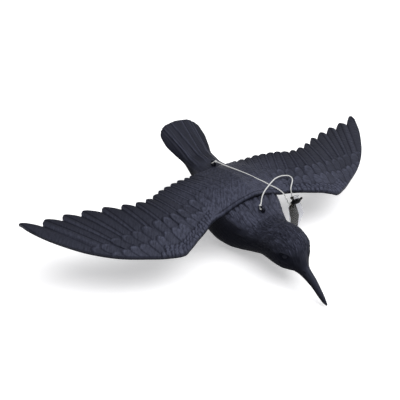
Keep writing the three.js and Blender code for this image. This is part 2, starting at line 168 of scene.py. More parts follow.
def smooth(low, high, value):
    """0 at low, 1 at high, and an even rise between them. Where low is above high, it falls."""
    u = np.clip((value - low) / (high - low), 0, 1)
    return u * u * (3 - 2 * u)


def mix(a, b, share):
    """a where share is 0, b where it is 1."""
    return a + (b - a) * share


print("halfway up an even rise:", float(smooth(0, 10, 5)))

# %% [markdown]
# Nearly every surface here is a grid of points: columns across and rows along. One helper lists
# the faces of a grid and closes it where it goes round. Another makes a mesh object and can write
# values onto it as UV maps, so that a material knows where it is on a feather. One unit of such
# a map stands for 100 mm. A subdivision surface would need far fewer points, but it would smooth
# away feathers that stand up by a millimetre or less.

# %% Meshes from grids of points
MAP_UNIT = 100


def grid_faces(columns, rows, start=0, ring=False, flip=False):
    """Quads of a grid whose points are numbered column by column."""
    first = np.arange(columns if ring else columns - 1)
    second = (first + 1) % columns
    along = np.arange(rows - 1)
    a = start + first[:, None] * rows + along
    b = start + second[:, None] * rows + along
    quads = np.stack([a, b, b + 1, a + 1], -1).reshape(-1, 4)
    return quads[:, ::-1] if flip else quads


def make_piece(name, points, faces, maps=None):
    """A mesh object in the scene. maps holds one pair of values per point under each map's name."""
    mesh = bpy.data.meshes.new(name)
    mesh.from_pydata(np.asarray(points).tolist(), [], [list(map(int, f)) for f in faces])
    corners = np.empty(len(mesh.loops), np.int32)
    mesh.loops.foreach_get("vertex_index", corners)
    for map_name, values in (maps or {}).items():
        layer = mesh.uv_layers.new(name=map_name)
        layer.data.foreach_set("uv", np.asarray(values, np.float32)[corners].ravel())
    mesh.polygons.foreach_set("use_smooth", [True] * len(mesh.polygons))
    mesh.update()
    piece = bpy.data.objects.new(name, mesh)
    bpy.context.scene.collection.objects.link(piece)
    return piece


def finish_piece(piece, material, node=None):
    """Gives a piece its material and slot, and lets it ride with the bird."""
    piece.data.materials.clear()
    piece.data.materials.append(material)
    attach(piece, "root")
    if node:
        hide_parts(node)
    print(piece.name, "has", len(piece.data.polygons), "faces")


# %% [markdown]
# A cord, a knot and a tie all follow a path: a smooth curve through a few points. A Bezier curve
# could hold it, but its handles are hard to read in a script, and a curve that passes through
# every given point needs none.

# %% Paths


def smooth_path(points, step):
    """A curve through the points, as points about step apart."""
    points = np.asarray(points, float)
    ends = np.vstack([2 * points[0] - points[1], points, 2 * points[-1] - points[-2]])
    made = []
    for i in range(1, len(ends) - 2):
        before, start, stop, after = ends[i - 1 : i + 3]
        count = max(1, int(round(np.linalg.norm(stop - start) / step)))
        u = (np.arange(count) / count)[:, None]
        made.append(
            0.5 * (2 * start + (stop - before) * u
                   + (2 * before - 5 * start + 4 * stop - after) * u**2
                   + (3 * start - before - 3 * stop + after) * u**3)
        )
    return np.vstack(made + [points[-1:]])


def path_length(path):
    """Length of a path of points."""
    return float(np.linalg.norm(np.diff(path, axis=0), axis=1).sum())


straight = smooth_path([[0, 0, 0], [0, 0, 3]], 1)
print("a straight path:", len(straight), "points,", path_length(straight), "mm")

# %% [markdown]
# Round a path goes a tube. Each of its rings keeps the turn of the one before, so that nothing
# twists. A curve object with a bevel would do for a plain wire, but only a mesh can carry the small
# ripple that winds round the tube and gives laid yarn its rope look.

# %% Tubes
FIRST_SIDE = (0.3, 0.2, 1.0)


def tube(path, radius, sides, strands=0, lay=1.0, ripple=0.0, closed=False):
    """Points, faces and yarn map of a tube."""
    path = np.asarray(path, float)
    count = len(path)
    if closed:
        tangent = np.roll(path, -1, 0) - np.roll(path, 1, 0)
    else:
        tangent = np.gradient(path, axis=0)
    tangent /= np.linalg.norm(tangent, axis=1)[:, None]
    side = np.cross(tangent[0], FIRST_SIDE)
    frames = []
    for t in tangent:
        side = side - t * side.dot(t)
        side /= np.linalg.norm(side)
        frames.append(side)
    side = np.array(frames)
    other = np.cross(tangent, side)
    run = np.concatenate([[0], np.cumsum(np.linalg.norm(np.diff(path, axis=0), axis=1))])
    angle = 2 * np.pi * np.arange(sides) / sides
    swell = np.ones((count, sides))
    if strands:
        swell += ripple * np.abs(np.sin(strands * (angle[None] + run[:, None] * lay) / 2)) - ripple
    ring = path[:, None] + (swell * radius)[..., None] * (
        side[:, None] * np.cos(angle)[None, :, None] + other[:, None] * np.sin(angle)[None, :, None]
    )
    points = ring.transpose(1, 0, 2).reshape(-1, 3)
    faces = grid_faces(sides, count, ring=True).tolist()
    if closed:
        faces += [[i * count + count - 1, (i + 1) % sides * count + count - 1,
                   (i + 1) % sides * count, i * count] for i in range(sides)]
    else:
        faces.append([i * count for i in range(sides)])
        faces.append([i * count + count - 1 for i in reversed(range(sides))])
    yarn = np.stack(
        [np.repeat(angle / (2 * np.pi), count), np.tile(run, sides) / MAP_UNIT], -1
    )
    return points, faces, yarn


print("a tube of 8 sides along it:", len(tube(straight, 1.0, 8)[1]), "faces")

# %% [markdown]
# The cord comes first. It is a soft white twisted cord under 2 mm thick. It runs from the rump lug
# over the back, hangs over the front edge of the wing, turns there under a knot, loops back over the
# wing and its own first run, and ends at the nape lug. A simulated cord would fall anew at each run,
# so its route is a list of given places, the same ones that the solid follows.

# %% Cord
CORD_DIAMETER = 1.6
CORD_STEP = 0.5
CORD_ROUTE = [
    [0.3, -2.4, 12.4], [3, -10, 13.6], [7, -21, 15], [11.5, -32, 16.6], [16, -43.5, 18.2],
    [20, -55, 19.8], [24.2, -68, 21], [28.6, -74.8, 20.2], [33.2, -80.2, 17.9], [39, -85.6, 15.4],
    [44.7, -90.3, 11.4], [49.2, -93.9, 6.6], [51.6, -96.2, 1.8], [53.6, -98.6, -3],
    [54.9, -99.9, -6.3], [57.6, -101, -7.5], [60.2, -101, -6], [61.3, -100, -2.8],
    [61, -97.6, 1.8], [60.6, -95.4, 6.2], [60.8, -93, 9.9], [62.8, -90.6, 11.8],
    [66.4, -87.2, 13.4], [70.4, -83.2, 14], [72.4, -79, 14.4], [71.4, -74.6, 14.8],
    [67, -71.8, 15], [60, -70, 15], [51, -71.2, 15.6], [43.8, -74.6, 17.2], [38, -78.2, 19.2],
    [33.4, -81, 20.6], [28, -84.4, 21.6], [21.6, -88, 22.4], [16, -91.2, 22], [11.4, -94.2, 20],
    [7.8, -97.4, 17.4], [4.6, -101.2, 15.6], [1.6, -104.4, 15], [0.3, -106, 14.8],
]
CORD_STRANDS = 3
CORD_LAY = 1.3
CORD_RIPPLE = 0.1
CORD_SIDES = 18
YARN_RADIUS = CORD_DIAMETER / 2

cord_path = smooth_path(CORD_ROUTE, CORD_STEP)
cord_points, cord_faces, cord_yarn = tube(
    cord_path, YARN_RADIUS, CORD_SIDES, CORD_STRANDS, CORD_LAY, CORD_RIPPLE
)
cord = make_piece("cord_line", to_scene(cord_points), cord_faces, {"yarn": cord_yarn})

# %% [markdown]
# Each end of the cord is tied through one of the two lugs: a small loop of the same yarn passes
# through the lug's hole and meets itself at the cord's end. The cord could go through the hole
# and back as one tube, but it is easier to place when the loop is a closed ring of its own.

# %% Loops through the lugs
NAPE_LUG = {"y": -110.5, "foot": 10.6}
RUMP_LUG = {"y": 0.5, "foot": 4.1}
LUG_SIZE = {"width": 8.0, "height": 8.0, "thickness": 3.6, "hole": 1.9, "sunk": 3.0}
LOOP = {"side": 2.9, "neck": 0.8, "step": 0.4, "overlap": 4}
PULLED_TIGHT = YARN_RADIUS * 0.8


def lug_hole(lug):
    """Middle of a lug's hole."""
    return np.array([0, lug["y"], lug["foot"] + LUG_SIZE["height"] - LUG_SIZE["width"] / 2])


def lug_loop(lug, cord_end):
    """The path of a loop from the cord's end through a lug's hole and back."""
    hole = lug_hole(lug)
    end = np.asarray(cord_end, float)
    half = (hole + end) / 2
    side = np.array([LOOP["side"], 0, 0])
    neck = side * LOOP["neck"]
    corners = [end, half + neck, hole + side, hole, hole - side, half - neck]
    corners = corners + corners[:2]
    return smooth_path(corners, LOOP["step"])[: -LOOP["overlap"]]


def tied_piece(name, path, radius):
    """A closed stretch of the same yarn along a path."""
    points, faces, yarn = tube(
        path, radius, CORD_SIDES, CORD_STRANDS, CORD_LAY, CORD_RIPPLE, closed=True
    )
    return make_piece(name, to_scene(points), faces, {"yarn": yarn})


nape_loop = tied_piece("cord_loop_nape", lug_loop(NAPE_LUG, CORD_ROUTE[-1]), PULLED_TIGHT)
rump_loop = tied_piece("cord_loop_rump", lug_loop(RUMP_LUG, CORD_ROUTE[0]), PULLED_TIGHT)
print("lug holes at", [lug_hole(lug).round(1).tolist() for lug in (NAPE_LUG, RUMP_LUG)])

# %% [markdown]
# A knot closes each loop, and a bigger one in the middle of the cord holds the pouch. A lump with
# a rope pattern would do from far off, but the knots stand against a pale floor. A trefoil is the
# shape of a simple overhand knot, so each is a small trefoil of the same yarn.

# %% Knots
KNOT_STEPS = 90
KNOT_DEPTH = 1.4
NAPE_KNOT = {"middle": [0.2, -105.2, 15.6], "size": 1.3, "tilt": 0.4}
RUMP_KNOT = {"middle": [0.3, -3.2, 12.9], "size": 1.2, "tilt": 0.5}
MIDDLE_KNOT = {"middle": [57.3, -101.2, -7.6], "size": 1.7, "tilt": 1.2}


def knot_path(knot):
    """A trefoil of the knot's size about its middle, tilted about x."""
    t = 2 * np.pi * np.arange(KNOT_STEPS) / KNOT_STEPS
    x = np.sin(t) + 2 * np.sin(2 * t)
    y = np.cos(t) - 2 * np.cos(2 * t)
    x, y, z = np.stack([x, y, -KNOT_DEPTH * np.sin(3 * t)]) * knot["size"] / 3
    cos = math.cos(knot["tilt"])
    sin = math.sin(knot["tilt"])
    return np.stack([x, y * cos - z * sin, y * sin + z * cos], -1) + np.asarray(knot["middle"])


nape_knot = tied_piece("cord_knot_nape", knot_path(NAPE_KNOT), PULLED_TIGHT)
rump_knot = tied_piece("cord_knot_rump", knot_path(RUMP_KNOT), PULLED_TIGHT)
middle_knot = tied_piece("cord_knot_middle", knot_path(MIDDLE_KNOT), YARN_RADIUS)
tied = [nape_loop, rump_loop, nape_knot, rump_knot, middle_knot]
print("tied:", [piece.name for piece in tied])

# %% [markdown]
# The wing panel is one moulded sheet: saddle, both wings and their sixteen flight feathers a
# side. The feathers fan out from the wrist, so a column of the mesh follows each feather from
# the front edge to its tip. A fan value of 0 is the wing tip, and each whole number is the outer
# edge of one feather. A drawn outline filled with faces would look the same from far off, but only
# fan lines let the relief follow each feather. The outline is the solid's own. The fan lines and
# the height of the inner wing are set a little closer to the picture than the solid's.

# %% Outline of the wing panel
PANEL_THICKNESS = 2.6
LIP_DEPTH = 3.6
LIP_FADE = 25.0
FRONT_EDGE = [
    [0, -93, 21], [20, -91.5, 15], [35, -91, 8.5], [50, -91.5, 3.5], [65, -95.5, 3],
    [80, -106, 6], [95, -114, 6.3], [110, -121, 3.5], [119, -123.4, 0], [137, -118.3, -1],
    [158, -108.3, -1.5], [188, -92, -1.5], [215, -70.2, -1.5], [240, -42, -1.2],
    [256, -19.7, -0.5], [267, 0.8, 0], [270, 9, 0.5],
]
REAR_POINTS = [
    [270, 11.6], [241.7, 4.3], [218, 2.4], [195.5, -2.4], [171, -9.2], [149.6, -19.2],
    [133, -25.1], [119, -25.4], [108.5, -24.3], [97.5, -18.9], [87.5, -15.9], [76, -13.2],
    [64.5, -10.3], [52.7, -9.2], [43, -7], [33, -4], [17, -5.5], [0, -7.4],
]
LAST_FEATHER = 16
MIDDLE = 17
FAN_START = [266, 180, 168, 155, 146.5, 130, 113, 96, 82, 66, 52, 41, 31, 22, 14, 8, 3, 0]
REAR_HEIGHT = [[0, 6.5], [30, 2.4], [52, 6.2], [108, 8.4], [133, 8.4], [171, 3.2], [218, 0.4],
               [270, 0.8]]
CAMBER = [[0, 6], [25, 5], [50, 3], [80, 2], [95, 3], [115, 5.6], [130, 6], [180, 4], [230, 2],
          [270, 0.3]]

front_y = through(FRONT_EDGE, 1)
lip_foot = through(FRONT_EDGE, 2)
rear_z = through(REAR_HEIGHT)
camber = through(CAMBER)


def lip_depth(x):
    """Depth of the turned-down front lip, which fades to the sheet's thickness at the tip."""
    return mix(PANEL_THICKNESS, LIP_DEPTH, smooth(0, LIP_FADE, FRONT_EDGE[-1][0] - x))


def front_point(fan):
    """Where a fan line starts on the front edge."""
    x = np.interp(fan, np.arange(MIDDLE + 1), FAN_START)
    return np.stack([x, front_y(x), lip_foot(x) + lip_depth(x)], -1)


print("wing panel:", 2 * FRONT_EDGE[-1][0], "mm across,", PANEL_THICKNESS, "mm thick")

# %% [markdown]
# Each feather ends in a blunt tip: a long free edge that bulges a little, then a short step down
# to the next feather. The notches between the tips get shallower toward the body. The tips could
# be cut out one by one, but a rule for one tip gives them all, and the relief then fits each one.

# %% Feather tips
DEEPEST_NOTCH = 10.5
NOTCH_SHRINK = 0.9
SHALLOWEST_NOTCH = 3.0
FREE_EDGE = 0.88
FREE_EDGE_BULGE = 0.3
TIP_CUT = 0.045
TIP_ROUND = (0.12, 0)
CORNER_ROUND = (0.4, 1)
TIP_SIDE_BULGE = 0.055


def rear_point(fan):
    """Where a fan line ends on the rear edge, with its feather tips and notches."""
    rear = np.asarray(REAR_POINTS, float)
    whole = np.minimum(np.floor(fan).astype(int), MIDDLE - 1)
    part = fan - whole
    tip = rear[whole]
    after = rear[whole + 1]
    depth = np.maximum(SHALLOWEST_NOTCH, DEEPEST_NOTCH - NOTCH_SHRINK * whole)
    notch = np.stack([mix(after[:, 0], tip[:, 0], 1 - FREE_EDGE), after[:, 1] - depth], -1)
    along = np.clip(part / FREE_EDGE, 0, 1)[:, None]
    step = np.clip((part - FREE_EDGE) / (1 - FREE_EDGE), 0, 1)[:, None]
    edge = mix(mix(tip, notch, along), after, step)
    pitch = tip[:, 0] - after[:, 0]
    edge[:, 1] += FREE_EDGE_BULGE * pitch * (np.sqrt(along) * (1 - along))[:, 0]
    edge[:, 0] += TIP_SIDE_BULGE * pitch * 4 * (step * (1 - step))[:, 0]
    rounded = smooth(*TIP_ROUND, along) * (step == 0) + smooth(*CORNER_ROUND, step)
    edge[:, 1] -= TIP_CUT * pitch * rounded[:, 0]
    plain = mix(tip, after, part[:, None])
    flat = np.where((whole < LAST_FEATHER - 1)[:, None], edge, plain)
    return np.column_stack([flat, rear_z(flat[:, 0])])


def panel_point(fan, along):
    """Points of the plain upper sheet, one column per fan value and one row per share along."""
    front = front_point(fan)[:, None]
    rear = rear_point(fan)[:, None]
    along = np.asarray(along, float)[None, :, None]
    points = mix(front, rear, along)
    points[..., 2] += camber(points[..., 0]) * (4 * along * (1 - along))[..., 0]
    return points


print("left wing tip:", to_scene(panel_point(np.array([0.0]), [1.0])[0, 0]).round(4).tolist())

# %% [markdown]
# Each flight feather is a broad low vane. Where it overlaps its neighbour stands a narrow rounded
# rib with a painted highlight on its top and a line of painted shade on each side, and the ribs get
# lower toward the body. All of the sheet's relief is height above the plain sheet, in millimetres.
# Two masks are kept with it: crests, where the plastic is paler, partly as wear and partly as
# painted highlight, and painted shade, which darkens the grooves. Feathers could be separate
# meshes, but the real sheet is moulded in one, and one height field has no seams.

# %% Profile of a flight feather
FEATHER_PROFILE = [[0, 0.95], [0.04, 0.4], [0.08, 0.3], [0.14, 0.6], [0.3, 0.8], [0.55, 0.8],
                   [0.72, 0.55], [0.79, 0.3], [0.84, 0.4], [0.89, 1.0], [0.94, 1.2], [1, 0.95]]
RIB_CREST = (0.93, 0.06)
RIB_HIGHLIGHT = 0.2
RIB_SHADE_LINES = ((0.07, 0.045, 0.6), (0.79, 0.04, 0.45))
LOWERED = 0.7
LOWER_OUTSIDE = (4, 9)
LOWER_INSIDE = (11, 14)
FEATHERS_END = (LAST_FEATHER - 0.4, LAST_FEATHER - 1.6)
VANE_FADE = (1.05, 0.6)
VANE_TONES = (0.16, 0.42)
VANE_TONE_RISE = (7, 13)
INNER_LINES = 0.85
INNER_LINES_RISE = (9, 13)
feather_height = through(FEATHER_PROFILE)


def hump(value, middle, width):
    """A smooth bump of height 1 about a middle value."""
    return np.exp(-(((value - middle) / width) ** 2))


def feather_relief(fan, along):
    """Height, crest and painted shade of the flight feathers, one column per fan value."""
    part = fan - np.floor(fan)
    lower = mix(1.0, LOWERED, smooth(*LOWER_OUTSIDE, fan))
    lower = lower * mix(1.0, LOWERED, smooth(*LOWER_INSIDE, fan))
    feathered = smooth(*FEATHERS_END, fan)
    spread = np.ones((1, len(along)))
    height = (feather_height(part) * lower * feathered)[:, None] * spread
    # A painted highlight on each rib's top, and lines of painted shade beside it.
    crest = (RIB_HIGHLIGHT * hump(part, *RIB_CREST) * feathered)[:, None] * spread
    vane_tone = mix(*VANE_TONES, smooth(*VANE_TONE_RISE, fan))
    crest = crest + vane_tone[:, None] * smooth(*VANE_FADE, along)[None]
    lines = sum(tone * hump(part, middle, width) for middle, width, tone in RIB_SHADE_LINES)
    inner_fade = mix(1.0, INNER_LINES, smooth(*INNER_LINES_RISE, fan))
    painted_shade = (lines * feathered * inner_fade)[:, None] * spread
    return height, crest, painted_shade


print("feather profile from", feather_height(0.08).round(2), "to", feather_height(0.94).round(2), "mm")

# %% [markdown]
# A covert, an edge scale, a mantle feather and a combed stroke are all one form: a leaf with a
# rounded or pointed end, raised at its tip, that lies over what is already there. It has a groove
# round its end, darkened with painted shade that falls mostly on the outer side where the leaf is
# tilted, and a painted highlight inside its rim that is brighter on its inner side. One function
# lays any of them on a sheet of grids, and touches only a box round the leaf, so that thousands
# stay quick. They could be sculpted, but then a changed size would mean doing all of them again.

# %% One leaf
LEAF_EDGE = 0.7
LEAF_MARGIN = 3
LEAF_ROOT = 0.8
DITCH_ROOT = 0.6
DITCH_SIDES = (-0.9, 0.2)
DITCH_START = -2
DITCH_SHADE = 4
DITCH_UNDER_LEAF = 0.6
HIGHLIGHT_MIDDLE = -1.5
HIGHLIGHT_WIDTH = 1.8
HIGHLIGHT_LENGTH = 2.6
HIGHLIGHT_OUTER = 0.3
HIGHLIGHT_SIDES = (-0.3, 0.7)


def lay_leaf(sheet, tip, lean, leaf, tone):
    """Lays a leaf on a sheet of x, y, height, crest and painted shade grids. Its point is the length
    of its end in half widths, its tilt the lift of its outer side, its edge the softness of it."""
    half_width, length, edge = leaf["half_width"], leaf["length"], leaf.get("edge", LEAF_EDGE)
    forward = np.array([-math.sin(lean), -math.cos(lean)])
    across = np.array([math.cos(lean), -math.sin(lean)])
    reach_out = length + half_width + LEAF_MARGIN
    box = (np.abs(sheet["x"] - tip[0]) < reach_out) & (np.abs(sheet["y"] - tip[1]) < reach_out)
    dx = sheet["x"][box] - tip[0]
    dy = sheet["y"][box] - tip[1]
    run = dx * forward[0] + dy * forward[1]
    off = dx * across[0] + dy * across[1]
    in_round = np.minimum(run - half_width * leaf["point"], 0) / leaf["point"]
    reach = np.hypot(off, in_round) - half_width
    inside = smooth(edge, -edge, reach) * smooth(length, length * LEAF_ROOT, run)
    side = np.clip(off / half_width, -1, 1)
    height = mix(leaf["tip_height"], leaf["root_height"], np.clip(run / length, 0, 1))
    height += leaf["dome"] * (1 - side**2) + leaf.get("tilt", 0) * side
    near = (run > DITCH_START) & (run < length)
    # Painted shade in the groove round the leaf's end; on a tilted leaf it falls mostly on the outer
    # side.
    ditch = hump(reach, edge, edge) * near * smooth(length, length * DITCH_ROOT, run)
    if "tilt" in leaf:
        ditch = ditch * smooth(*DITCH_SIDES, side)
    dark = ditch * min(1, DITCH_SHADE * leaf["ditch"])
    # A painted highlight just inside the rim, fainter toward the outer side.
    rim = hump(reach, HIGHLIGHT_MIDDLE * edge, HIGHLIGHT_WIDTH * edge)
    rim = rim * smooth(half_width * HIGHLIGHT_LENGTH, 0, run) * near
    rim = rim * mix(1, HIGHLIGHT_OUTER, smooth(*HIGHLIGHT_SIDES, side))
    old = {key: sheet[key][box] for key in ("height", "crest", "painted_shade")}
    sheet["height"][box] = mix(old["height"], height, inside) - leaf["ditch"] * ditch * (1 - inside)
    sheet["painted_shade"][box] = np.maximum(old["painted_shade"] * (1 - inside),
                                      dark * (1 - inside * DITCH_UNDER_LEAF))
    sheet["crest"][box] = mix(old["crest"], tone + leaf["rim"] * rim, inside)


print("a leaf's rim fades over", HIGHLIGHT_LENGTH, "half widths")

# %% [markdown]
# The wing's small feathers lie in rows. They lean outward, most of all near the wing tip. Each
# one's place, size, lean and tone vary a little, and a row gets darker toward the wing tip. An
# array modifier could repeat one feather, but then all would be alike. The generator of the
# changes is seeded, so that every run lays the same leaves.

# %% Rows of leaves
LEAN = [[0, 0], [30, 12], [42, 17], [60, 21], [85, 22], [100, 19], [112, 15.5], [136, 15.5],
        [148, 22], [161, 27.5], [175, 33.6], [193, 37.7], [240, 40]]
SIZE_CHANGE = 0.08
LEAN_CHANGE = 3
TONE_CHANGE = 0.3
TONE_FADE = (1.3, 0.75)
TONE_FADE_RUN = (115, 200)
lean_at = through(LEAN)


def lay_row(sheet, tips, leaf):
    """Lays a row of leaves from the outermost in, so that each covers its outer neighbour."""
    rng = np.random.default_rng(SEED + len(tips))
    for x, y in sorted(tips, reverse=True):
        shift = rng.uniform(-leaf["jitter"], leaf["jitter"], 2)
        size = 1 + SIZE_CHANGE * shift[0] / leaf["jitter"]
        lean = math.radians(float(lean_at(x)) + LEAN_CHANGE * shift[1] / leaf["jitter"])
        tone = leaf["tone"] * (1 + TONE_CHANGE * rng.uniform(-1, 1))
        tone *= float(mix(*TONE_FADE, smooth(*TONE_FADE_RUN, x)))
        own = leaf | {"half_width": leaf["half_width"] * size}
        lay_leaf(sheet, (x + shift[0], y + shift[1]), lean, own, tone)


print("lean of a leaf over the wrist:", float(lean_at(FRONT_EDGE[8][0])), "degrees")

# %% [markdown]
# Two rows of coverts lie over the flight feathers like roof tiles, and three rows of small scales
# follow the front edge from the saddle past the wrist. A row of coverts could be spaced by a rule,
# as the scales are, but the real ones keep no even beat, so their tips are given one by one.

# %% Coverts and edge scales
LONG_COVERTS = [[39, -45], [50, -46.5], [61, -49], [72, -53], [83, -57], [95, -63],
                [107, -66.5], [119, -68], [131, -68], [146, -68], [160, -68], [173, -67],
                [186, -66], [200, -68], [211, -66]]
SHORT_COVERTS = [[36, -62], [46, -64], [56, -67], [65, -71], [74, -74], [83, -76.5], [94, -80.5],
                 [106, -86.5], [117, -88.5], [128, -88.5], [138, -89.5], [149, -90], [161, -89],
                 [172, -86], [183, -86.5], [194, -85]]
LONG_LEAF = {"half_width": 5.4, "length": 34, "tip_height": 1.4, "root_height": 1.05,
             "dome": 0.15, "point": 1.9, "tilt": 0.2, "ditch": 0.12, "rim": 0.45, "tone": 0.26,
             "jitter": 0.6}
SHORT_LEAF = {"half_width": 5.0, "length": 40, "tip_height": 1.65, "root_height": 1.3,
              "dome": 0.15, "point": 1.9, "tilt": 0.2, "ditch": 0.12, "rim": 0.5, "tone": 0.38,
              "jitter": 0.6}
SCALE_LEAF = {"tip_height": 1.85, "root_height": 1.45, "dome": 0.15, "point": 1.2, "tilt": 0.15,
              "ditch": 0.2, "rim": 0.9, "tone": 0.48, "jitter": 0.7}
SCALE_ROWS = [
    {"first": 52, "last": 138, "pitch": 5.6, "from_edge": 13.5, "half_width": 2.9, "length": 9},
    {"first": 50, "last": 142, "pitch": 5.3, "from_edge": 9.4, "half_width": 2.7, "length": 8},
    {"first": 48, "last": 146, "pitch": 5.0, "from_edge": 5.4, "half_width": 2.5, "length": 7},
]


def scale_tips(row, shift):
    """Tips of a row of small scales that follow the front edge at a distance."""
    xs = np.arange(row["first"] + shift, row["last"], row["pitch"])
    return [[float(x), float(front_y(x)) + row["from_edge"]] for x in xs]


def lay_coverts(sheet):
    """Lays both rows of coverts, then the scales, every other row half a pitch aside."""
    lay_row(sheet, LONG_COVERTS, LONG_LEAF)
    lay_row(sheet, SHORT_COVERTS, SHORT_LEAF)
    for number, row in enumerate(SCALE_ROWS):
        lay_row(sheet, scale_tips(row, number % 2 * row["pitch"] / 2), SCALE_LEAF | row)


print("coverts a side:", len(LONG_COVERTS), "long and", len(SHORT_COVERTS), "short")

# %% [markdown]
# The saddle between the wings has no long feathers, and gets paler toward the neck as painted
# light, where it turns toward the lamp. It could be a mesh of its own, but the real sheet has no
# seam there, so the feathers are faded out into a smooth base.

# %% Saddle
SADDLE_EDGE = (42, 24)
SADDLE_FORWARD = (-50, -72)
SADDLE_WIDENING = 18
SADDLE_LEVEL = 1.3
SADDLE_TONES = (0.32, 0.74)
SADDLE_TONE_RISE = (-36, -76)


def saddle_tone(y):
    """Tone of the saddle at a place along it, paler toward the neck as painted light."""
    return mix(*SADDLE_TONES, smooth(*SADDLE_TONE_RISE, y))


def lay_saddle(sheet):
    """Fades the feathers into the saddle's smooth base."""
    forward = smooth(*SADDLE_FORWARD, sheet["y"])
    saddle = smooth(*SADDLE_EDGE, sheet["x"] - SADDLE_WIDENING * forward)
    sheet["height"] = mix(sheet["height"], SADDLE_LEVEL, saddle)
    sheet["crest"] = mix(sheet["crest"], saddle_tone(sheet["y"]), saddle)
    sheet["painted_shade"] = sheet["painted_shade"] * (1 - saddle)


print("saddle tones:", [round(float(saddle_tone(y)), 2) for y in SADDLE_TONE_RISE])

# %% [markdown]
# Short combed strokes cover the saddle. A noise texture would give strokes without ends. Here each
# one is laid as a small narrow leaf, from the rear to the front, so that the next covers the root
# of the last. With them, the relief of the wing is complete.

# %% Strokes of the saddle
STROKES = {"reach": 60, "rear": -9, "front": -88, "count": 520, "lean": 0.3, "turn": 9}
STROKE_LEAF = {"half_width": 1.5, "length": 11.0, "root_height": 1.36, "dome": 0.08, "point": 2.4,
               "ditch": 0.05, "rim": 0.25}
STROKE_SIZES = (0.8, 1.25)
STROKE_HEIGHTS = (1.4, 1.56)
COVERT_CORNER = (34, -46)


def sized(leaf, size, **changes):
    """A leaf with its width and length scaled, and with other changes as named."""
    scaled = {"half_width": leaf["half_width"] * size, "length": leaf["length"] * size}
    return leaf | scaled | changes


def lay_strokes(sheet):
    """Scatters short narrow strokes over the saddle and leaves the coverts clear."""
    rng = np.random.default_rng(SEED)
    rear_first = np.sort(rng.uniform(STROKES["front"], STROKES["rear"], STROKES["count"]))[::-1]
    xs = rng.uniform(0, STROKES["reach"], STROKES["count"])
    for x, y in zip(xs, rear_first):
        if x > COVERT_CORNER[0] and y > COVERT_CORNER[1]:
            continue
        lean = math.radians(STROKES["lean"] * x + rng.uniform(-STROKES["turn"], STROKES["turn"]))
        size = rng.uniform(*STROKE_SIZES)
        own = sized(STROKE_LEAF, size, tip_height=rng.uniform(*STROKE_HEIGHTS))
        lay_leaf(sheet, (x, y), lean, own, saddle_tone(y))


def wing_relief(fan, along, points):
    """Height, crest and painted shade of the upper sheet at each of its points."""
    height, crest, painted_shade = feather_relief(fan, along)
    sheet = {"x": points[..., 0], "y": points[..., 1], "height": height, "crest": crest,
             "painted_shade": painted_shade}
    lay_coverts(sheet)
    lay_saddle(sheet)
    lay_strokes(sheet)
    return sheet


print("strokes on one side of the saddle: up to", STROKES["count"])

# %% [markdown]
# The upper sheet's grid has its columns closer where a feather has its rib and its step, and its
# rows closer under the coverts. An even grid fine enough for the ribs would have several times as
# many faces, and the blades between the ribs don't need them.

# %% Columns and rows of the wing
FEATHER_SHARES = [0, 0.02, 0.04, 0.06, 0.08, 0.105, 0.14, 0.2, 0.28, 0.36, 0.44, 0.52, 0.6, 0.67,
                  0.72, 0.76, 0.79, 0.82, 0.85, 0.88, 0.905, 0.93, 0.955, 0.98]
TIP_COLUMNS = 56
SADDLE_COLUMNS = 40
FRONT_ROWS = (0, 0.004, 0.009, 0.015, 0.022, 0.03)
COVERT_ROWS = 52
COVERT_END = 0.6
BLADE_ROWS = 20
UNDER_ROWS = np.array([0, 0.012, 0.036, 0.1, 0.2, 0.33, 0.5, 0.66, 0.83, 1])

half_fan = [np.linspace(0, 1, TIP_COLUMNS, endpoint=False)]
half_fan += [whole + np.array(FEATHER_SHARES) for whole in range(1, LAST_FEATHER - 1)]
half_fan.append(np.linspace(LAST_FEATHER - 1, MIDDLE, SADDLE_COLUMNS + 1))
half_fan = np.concatenate(half_fan)
top_rows = np.concatenate([
    FRONT_ROWS,
    np.linspace(FRONT_ROWS[-1], COVERT_END, COVERT_ROWS + 1)[1:],
    np.linspace(COVERT_END, 1, BLADE_ROWS + 1)[1:],
])
print("one wing:", len(half_fan), "columns of", len(top_rows), "points")

# %% [markdown]
# The upper side is the plain sheet raised by its relief. Its front edge is rounded over, and near
# the neck it carries a fine bead with a groove behind it. The bead gets a painted highlight, and
# the groove and the front edge get painted shade. A bevel would round the edge too, but it
# would round every step between the feathers as well.

# %% Upper sheet
EDGE_ROUND = 1.7
BEAD = {"reach": 62, "fade": 12, "middle": 1.6, "width": 1.1, "height": 0.55}
BEAD_HIGHLIGHT = (1.8, 0.9)
BEAD_GROOVE = (3.9, 0.8)
BEAD_GROOVE_SHADE = 0.8
EDGE_SHADE = 0.55
EDGE_SHADE_WIDTH = 0.7


